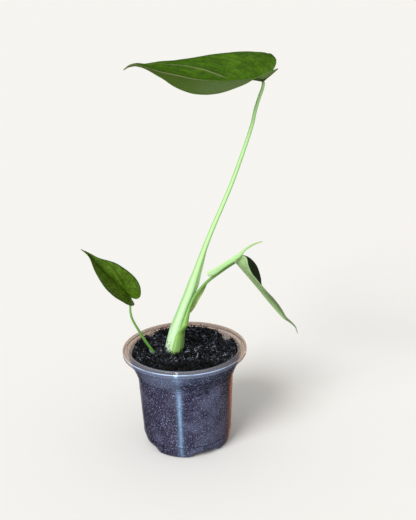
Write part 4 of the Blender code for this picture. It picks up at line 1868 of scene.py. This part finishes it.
        model = Bench.sheet("shred", 4, 5, law)
        Bench.close(model)
        dice = random.Random(self.shred_seed)
        places = []
        for _ in range(self.shreds):
            x, y = self.spot(dice, self.shred_reach)
            length = self.shred_lengths[0] + self.shred_lengths[1] * dice.random() ** 1.6
            wide = self.shred_widths[0] + self.shred_widths[1] * dice.random()
            z = self.height(x, y) - 0.1 + 1.5 * dice.random() ** 2
            if math.hypot(x, y) + length * 0.7 < self.shred_limit:
                turn = dice.random() * self.any_turn
            else:
                turn = math.atan2(y, x) + math.pi / 2 + dice.gauss(0, 0.25)
            tilt = spin(math.radians(dice.gauss(0, self.shred_lean)), "Y")
            roll = spin(dice.random() * self.any_turn, "X")
            places.append(put((x, y, z), (length, wide, wide), spin(turn, "Z"), tilt, roll))
        for x, y, lean, length in self.standing:
            places.append(put((x, y, self.height(x, y) + length * 0.8), (length, 0.6, 0.6),
                              spin(math.radians(20), "Z"), spin(math.radians(-lean), "Y")))
        return self.scatter("soil_shreds", model, places + self.cling(), self.shred_finish)


# The stage


@dataclass
class Studio:
    """Floor, light and camera.

    Each strip holds a name, a place, a width and a height, a power and a colour.
    """

    pitch: float = 19.446
    roll: float = 1.6
    place: Triple = (0.01877, -0.54168, 0.33186)
    lens: float = 56.77
    sensor: float = 36.0
    floor_size: float = 60.0
    floor_colour: Colour = (0.875, 0.862, 0.835)
    sky_colour: Colour = (1.0, 0.995, 0.98)
    seen_colour: Colour = (0.92, 0.91, 0.87)
    under_sky: float = 0.25
    dusk: float = -0.25
    low_sky: float = 0.46
    high_sky: float = 0.60
    sun_strength: float = 2.5
    sun_width: float = 30.0
    sun_from: Triple = (-0.60, -0.78, 0.80)
    strips: Sequence[tuple[str, Colour, tuple[float, float], float, Colour]] = (
        ("front_strip", (-0.155, -0.58, 0.065), (0.045, 0.12), 11.0, (0.38, 0.66, 1.0)),
        ("warm_side", (0.46, 0.40, 0.05), (0.20, 0.12), 3.0, (1.0, 0.33, 0.12)))
    strip_aim: Triple = (0.0, 0.0, 0.035)

    def build_floor(self) -> None:
        """Lay the plain pale floor."""
        Bench.clear()
        bpy.ops.mesh.primitive_plane_add(size=self.floor_size)
        floor = Bench.named("floor")
        floor.data.materials.clear()
        floor.data.materials.append(Graph("pale_floor", Roughness=0.95, Metallic=0.0, Specular_IOR_Level=0.0,
                                          Base_Color=self.floor_colour).material)
        floor.visible_glossy = False

    def light_room(self) -> None:
        """Set the pale surroundings, darker from below, with an even backdrop for the camera."""
        world = bpy.data.worlds.new("pale_room")
        sky = Tree(world)
        height = sky.node("SeparateXYZ", {0: sky.node("TexCoord").outputs["Generated"]}).outputs["Z"]
        above = sky.node("MapRange", {"Value": height, "To Min": self.low_sky, "To Max": self.high_sky})
        below = sky.node("MapRange", {"Value": height, "From Min": self.dusk, "From Max": 0.0,
                                      "To Min": self.under_sky})
        strength = sky.node("Math", {0: above.outputs[0], 1: below.outputs[0]}, operation="MULTIPLY")
        lit = sky.fill(sky.nodes["Background"], {"Color": self.sky_colour, "Strength": strength.outputs[0]})
        seen = sky.node("Background", {"Color": self.seen_colour})
        straight = sky.node("LightPath").outputs["Is Camera Ray"]
        both = sky.node("MixShader", {0: straight, 1: lit.outputs[0], 2: seen.outputs[0]})
        sky.fill(sky.nodes["World Output"], {"Surface": both.outputs[0]})
        bpy.context.scene.world = world

    def add_lamp(self, name: str, kind: str, energy: float, turn: Vector) -> Object:
        """Add a lamp that shines against a direction.

        Args:
            name: the lamp's name.
            kind: its type.
            energy: its power.
            turn: where its light comes from.

        Returns:
            The lamp.
        """
        lamp = bpy.data.lights.new(name, kind)
        lamp.energy = energy
        item = bpy.data.objects.new(name, lamp)
        item.rotation_euler = turn.to_track_quat("Z", "Y").to_euler()
        bpy.context.scene.collection.objects.link(item)
        return item

    def light(self, pot: Object) -> None:
        """Set the room, a broad soft key light and two narrow lights for the pot's gloss alone.

        Args:
            pot: the piece that the narrow lights shine on.
        """
        self.light_room()
        key = self.add_lamp("key", "SUN", self.sun_strength, Vector(self.sun_from))
        key.data.angle = math.radians(self.sun_width)
        only_pot = bpy.data.collections.new("lit_by_strips")
        only_pot.objects.link(pot)
        for name, place, size, energy, colour in self.strips:
            card = self.add_lamp(name, "AREA", energy, Vector(place) - Vector(self.strip_aim))
            card.data.shape = "RECTANGLE"
            card.data.size, card.data.size_y = size
            card.data.color = colour
            card.location = place
            card.light_linking.receiver_collection = only_pot

    def aim_camera(self) -> None:
        """Place the camera at the photograph's viewing angle."""
        pitch, roll = math.radians(self.pitch), math.radians(self.roll)
        ahead = Vector((0, math.cos(pitch), -math.sin(pitch)))
        level = Vector((1, 0, 0))
        above = level.cross(ahead)
        right = level * math.cos(roll) - above * math.sin(roll)
        up = level * math.sin(roll) + above * math.cos(roll)
        lens = bpy.data.cameras.new("camera")
        lens.lens, lens.sensor_width = self.lens, self.sensor
        lens.clip_start = 0.01
        camera = bpy.data.objects.new("camera", lens)
        turn = Matrix((right, up, -ahead)).transposed().to_4x4()
        turn.translation = Vector(self.place)
        camera.matrix_world = turn
        bpy.context.scene.collection.objects.link(camera)
        bpy.context.scene.camera = camera
        bpy.context.scene.view_settings.view_transform = "Standard"


def make_blades() -> list[Blade]:
    """Give the three blades.

    Returns:
        The large, the folded and the small blade.
    """
    big = [(0.0, 0.0), (-3.8, 2.6), (-7.0, 8.5), (-8.2, 15.0), (-6.8, 21.5), (-1.8, 26.8), (6.0, 29.3),
           (15.0, 30.0), (24.0, 29.6), (33.0, 28.0), (41.0, 25.2), (49.0, 21.3), (57.0, 16.8), (64.0, 12.4),
           (71.0, 8.4), (78.0, 5.0), (84.0, 2.8), (88.0, 2.2), (91.5, 1.2), (94.5, 0.0)]
    big_far = [(0.0, 0.0), (-3.4, 2.6), (-6.2, 8.0), (-7.2, 15.0), (-6.2, 22.0), (-1.8, 27.6)] + big[6:]
    folded = [(0.0, 0.0), (-2.0, 3.5), (-2.6, 7.5), (-0.5, 11.5), (4.0, 15.0), (9.0, 17.3), (15.0, 18.2),
              (22.0, 17.6), (29.0, 15.6), (36.0, 12.6), (43.0, 8.8), (49.0, 5.4), (54.0, 2.9), (59.0, 1.5),
              (64.0, 0.8), (69.0, 0.0)]
    folded_left = [(0.0, 0.0), (0.2, 3.5), (0.8, 7.5), (2.2, 11.5), (5.2, 14.9)] + folded[5:]
    little = [(0.0, 0.0), (-2.0, 1.6), (-3.6, 4.6), (-3.2, 8.0), (0.0, 11.0), (5.0, 12.5), (11.0, 13.0),
              (17.0, 12.7), (23.0, 11.2), (29.0, 8.4), (34.0, 5.2), (38.0, 2.8), (41.5, 1.4), (45.0, 0.6),
              (48.6, 0.0)]
    little_left = [(0.0, 0.0), (-2.8, 0.9), (-4.9, 1.9), (-5.6, 3.8), (-4.6, 6.5), (-2.4, 9.0),
                   (0.0, 10.8)] + little[5:]
    main = Blade(
        "main_blade", "main_leaf", "main_blade",
        ((57.8, 4.0, 262.8), (51.0, 4.5, 263.9), (43.2, 5.0, 263.8), (33.3, 5.7, 263.3), (21.3, 6.5, 263.6),
         (12.0, 7.2, 264.8), (0.6, 8.0, 267.5), (-10.2, 8.8, 269.9), (-18.8, 9.2, 272.8), (-25.2, 9.8, 274.4),
         (-29.6, 10.2, 273.8), (-33.2, 10.5, 271.4)),
        (0, 0, 1), {Side.RIGHT: big_far, Side.LEFT: big},
        {Side.RIGHT: [(-9, 15), (-6, 23), (-3, 30), (0, 33), (3, 32.5), (7, 31), (30, 31.5), (45, 33),
                      (60, 32), (66, 37), (71, 40.5), (75, 33), (80, 18), (84, 21), (88, 14), (92, 14)],
         Side.LEFT: [(-9, 13), (-5, 14.5), (-2, 16.5), (0, 16), (2, 13), (4.5, 9.5), (9, 3.5), (15, -1),
                     (28, -8), (41, -13), (53, -16), (59, -15), (65, -10), (71, -6), (77, -2), (80, 0),
                     (84, -5), (88, -14), (92, -14)]},
        BladeFinish("main_blade", deep=(0.024, 0.067, 0.002), bright=(0.078, 0.180, 0.004),
                    edge=(0.040, 0.075, 0.010), under=(0.064, 0.118, 0.010), under_deep=(0.024, 0.048, 0.002),
                    under_edge=(0.15, 0.24, 0.06), vein=(0.24, 0.22, 0.14), rib=(0.26, 0.22, 0.15),
                    patch=(0.10, 0.085, 0.02), patch_share=0.25, left_base_painted_light=(0.085, 0.130, 0.042),
                    left_tip_painted_light=(0.046, 0.092, 0.004), left_painted_light_share=0.9, strong_vein=21.0, gloss=0.06,
                    heart_share=0.9, mottles=0.3),
        lobe_lift=0.95)
    second = Blade(
        "folded_blade", "second_leaf", "folded_blade",
        ((38.4, 0.5, 138.6), (43.4, 0.5, 132.2), (53.1, 0.5, 119.6), (62.6, 0.5, 106.7), (71.3, 0.5, 95.9),
         (76.7, 0.5, 91.4), (80.6, 0.5, 87.0), (82.4, 0.5, 81.6)),
        (0.785, 0, 0.62), {Side.RIGHT: folded, Side.LEFT: folded_left},
        {Side.RIGHT: [(-3, 58), (0, 48), (3, 32), (7, 23), (11, 20), (25, 20), (36, 27), (46, 36), (54, 46)],
         Side.LEFT: [(0, 22), (3, 22), (7, 21), (12, 21.5), (18, 20), (26, 10.5), (32, 0), (50, 2)]},
        BladeFinish("folded_blade", deep=(0.006, 0.013, 0.001), bright=(0.015, 0.030, 0.002),
                    edge=(0.02, 0.04, 0.01), under=(0.42, 0.60, 0.29), under_deep=(0.25, 0.40, 0.16),
                    under_edge=(0.40, 0.58, 0.31), vein=(0.03, 0.05, 0.015), rib=(0.03, 0.05, 0.015),
                    patch=(0.03, 0.03, 0.01), left_base_painted_light=(0.02, 0.04, 0.01),
                    left_tip_painted_light=(0.015, 0.03, 0.006), left_painted_light_share=0.2, strong_vein=14.0, vein_step=4.6,
                    gloss=0.03, length=72.0, under_fade=0.25, fold_shade_share=0.8),
        lead=0.55, along=110, across=36)
    small = Blade(
        "small_blade", "small_leaf", "small_blade",
        ((-36.0, -10.2, 118.4), (-41.0, -9.0, 125.0), (-49.0, -7.0, 132.0), (-57.0, -5.0, 140.0),
         (-63.4, -3.0, 147.5), (-69.2, -1.6, 151.6)),
        (0.0, -0.95, 0.3), {Side.RIGHT: little, Side.LEFT: little_left},
        {Side.RIGHT: [(-4, 42), (2, 31), (7, 26), (17, 26), (24, 22), (30, 24), (50, 25)],
         Side.LEFT: [(-4, 67), (2, 65), (8, 57), (14, 57), (22, 61), (40, 64)]},
        BladeFinish("small_blade", deep=(0.030, 0.070, 0.003), bright=(0.122, 0.245, 0.012),
                    edge=(0.010, 0.028, 0.002), under=(0.16, 0.28, 0.10), under_deep=(0.09, 0.17, 0.05),
                    # The small blade's dark midrib colour is painted shade along its fold.
                    under_edge=(0.16, 0.26, 0.10), vein=(0.14, 0.21, 0.03), rib=(0.020, 0.048, 0.003),
                    patch=(0.060, 0.052, 0.006), patch_share=0.75, mottles=0.65, edge_share=0.85,
                    left_base_painted_light=(0.042, 0.086, 0.006), left_tip_painted_light=(0.044, 0.102, 0.008), left_painted_light_share=0.8,
                    strong_vein=8.0, vein_step=3.8, vein_share=0.35, rib_fade=0.3, rib_share=0.8,
                    roughness=0.34, gloss=0.25, length=48.6, dry_share=0.8),
        along=100, across=36, relief=0.7)
    return [main, second, small]


def main() -> None:
    """Build and dress every piece and log its face count, then set up the stage."""
    logging.basicConfig(level=logging.INFO, format="%(name)s: %(message)s")
    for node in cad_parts.values():
        node.select_set(False)
    tall = TallStem(
        "tall_stem", "main_stem", "mint_stem",
        ((-10.3, 3.0, 56.0), (-9.2, 3.0, 66.0), (-8.6, 3.0, 71.0), (-6.6, 3.0, 82.0), (-4.7, 3.0, 90.0),
         (-2.0, 3.0, 97.5), (1.5, 3.0, 107.0), (5.0, 3.0, 115.5), (10.3, 3.0, 130.5), (16.5, 3.0, 148.0),
         (23.7, 3.0, 165.5), (30.4, 3.0, 180.5), (36.9, 3.0, 195.8), (43.7, 3.0, 214.0), (50.3, 3.2, 233.0),
         (53.0, 3.4, 244.0), (55.6, 3.7, 252.0), (57.7, 3.9, 257.6), (58.3, 4.0, 260.6), (58.2, 4.0, 262.0)),
        ((0.0, 11.0), (0.05, 11.6), (0.085, 11.6), (0.13, 10.3), (0.165, 9.0), (0.20, 8.0), (0.24, 7.4),
         (0.29, 7.1), (0.32, 6.7), (0.36, 5.3), (0.40, 4.5), (0.45, 3.8), (0.53, 3.2), (0.66, 2.9),
         (0.80, 2.6), (0.95, 2.3), (1.0, 2.0)),
        StemFinish("mint_stem", foot=(0.72, 0.95, 0.66), middle=(0.58, 0.92, 0.42), top=(0.50, 0.82, 0.34),
                   flank=(0.17, 0.42, 0.08), side_shade_share=0.6, length=222.0, knuckle_share=0.9,
                   left_painted_light_share=1.0, streaks=0.2))
    thin = Stem(
        "thin_stem", "small_stem", "thin_stem",
        ((-15.6, -3.0, 58.0), (-19.2, -3.0, 66.0), (-21.1, -3.0, 70.0), (-24.6, -3.6, 75.8),
         (-28.7, -4.4, 83.4), (-32.7, -5.2, 91.6), (-35.9, -6.0, 99.0), (-37.0, -7.0, 105.0),
         (-36.8, -7.9, 111.2), (-36.2, -8.5, 115.8), (-35.9, -8.7, 118.6)),
        ((0.0, 2.2), (0.3, 2.0), (0.7, 1.6), (1.0, 1.5)),
        StemFinish("thin_stem", foot=(0.12, 0.34, 0.035), middle=(0.17, 0.42, 0.07), top=(0.26, 0.54, 0.14),
                   flank=(0.06, 0.20, 0.02), side_shade_share=0.5, length=66.0),
        rings=110, sides=24)
    pot = Pot()
    soil = Soil(pot, tall)
    makers: list[Callable[[], Object]] = [
        pot.build, soil.build_bed, soil.build_crumbs, soil.build_shreds, tall.build,
        SideStem(tall).build, thin.build, Sheath().build, Wing().build]
    makers += [blade.build for blade in make_blades()]
    for make in makers:
        piece = make()
        LOG.info("%s: %d faces", piece.name, len(piece.data.polygons))
    studio = Studio()
    studio.build_floor()
    studio.light(bpy.data.objects["clear_pot"])
    studio.aim_camera()
    Bench.clear()
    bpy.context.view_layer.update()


if __name__ == "__main__":
    main()
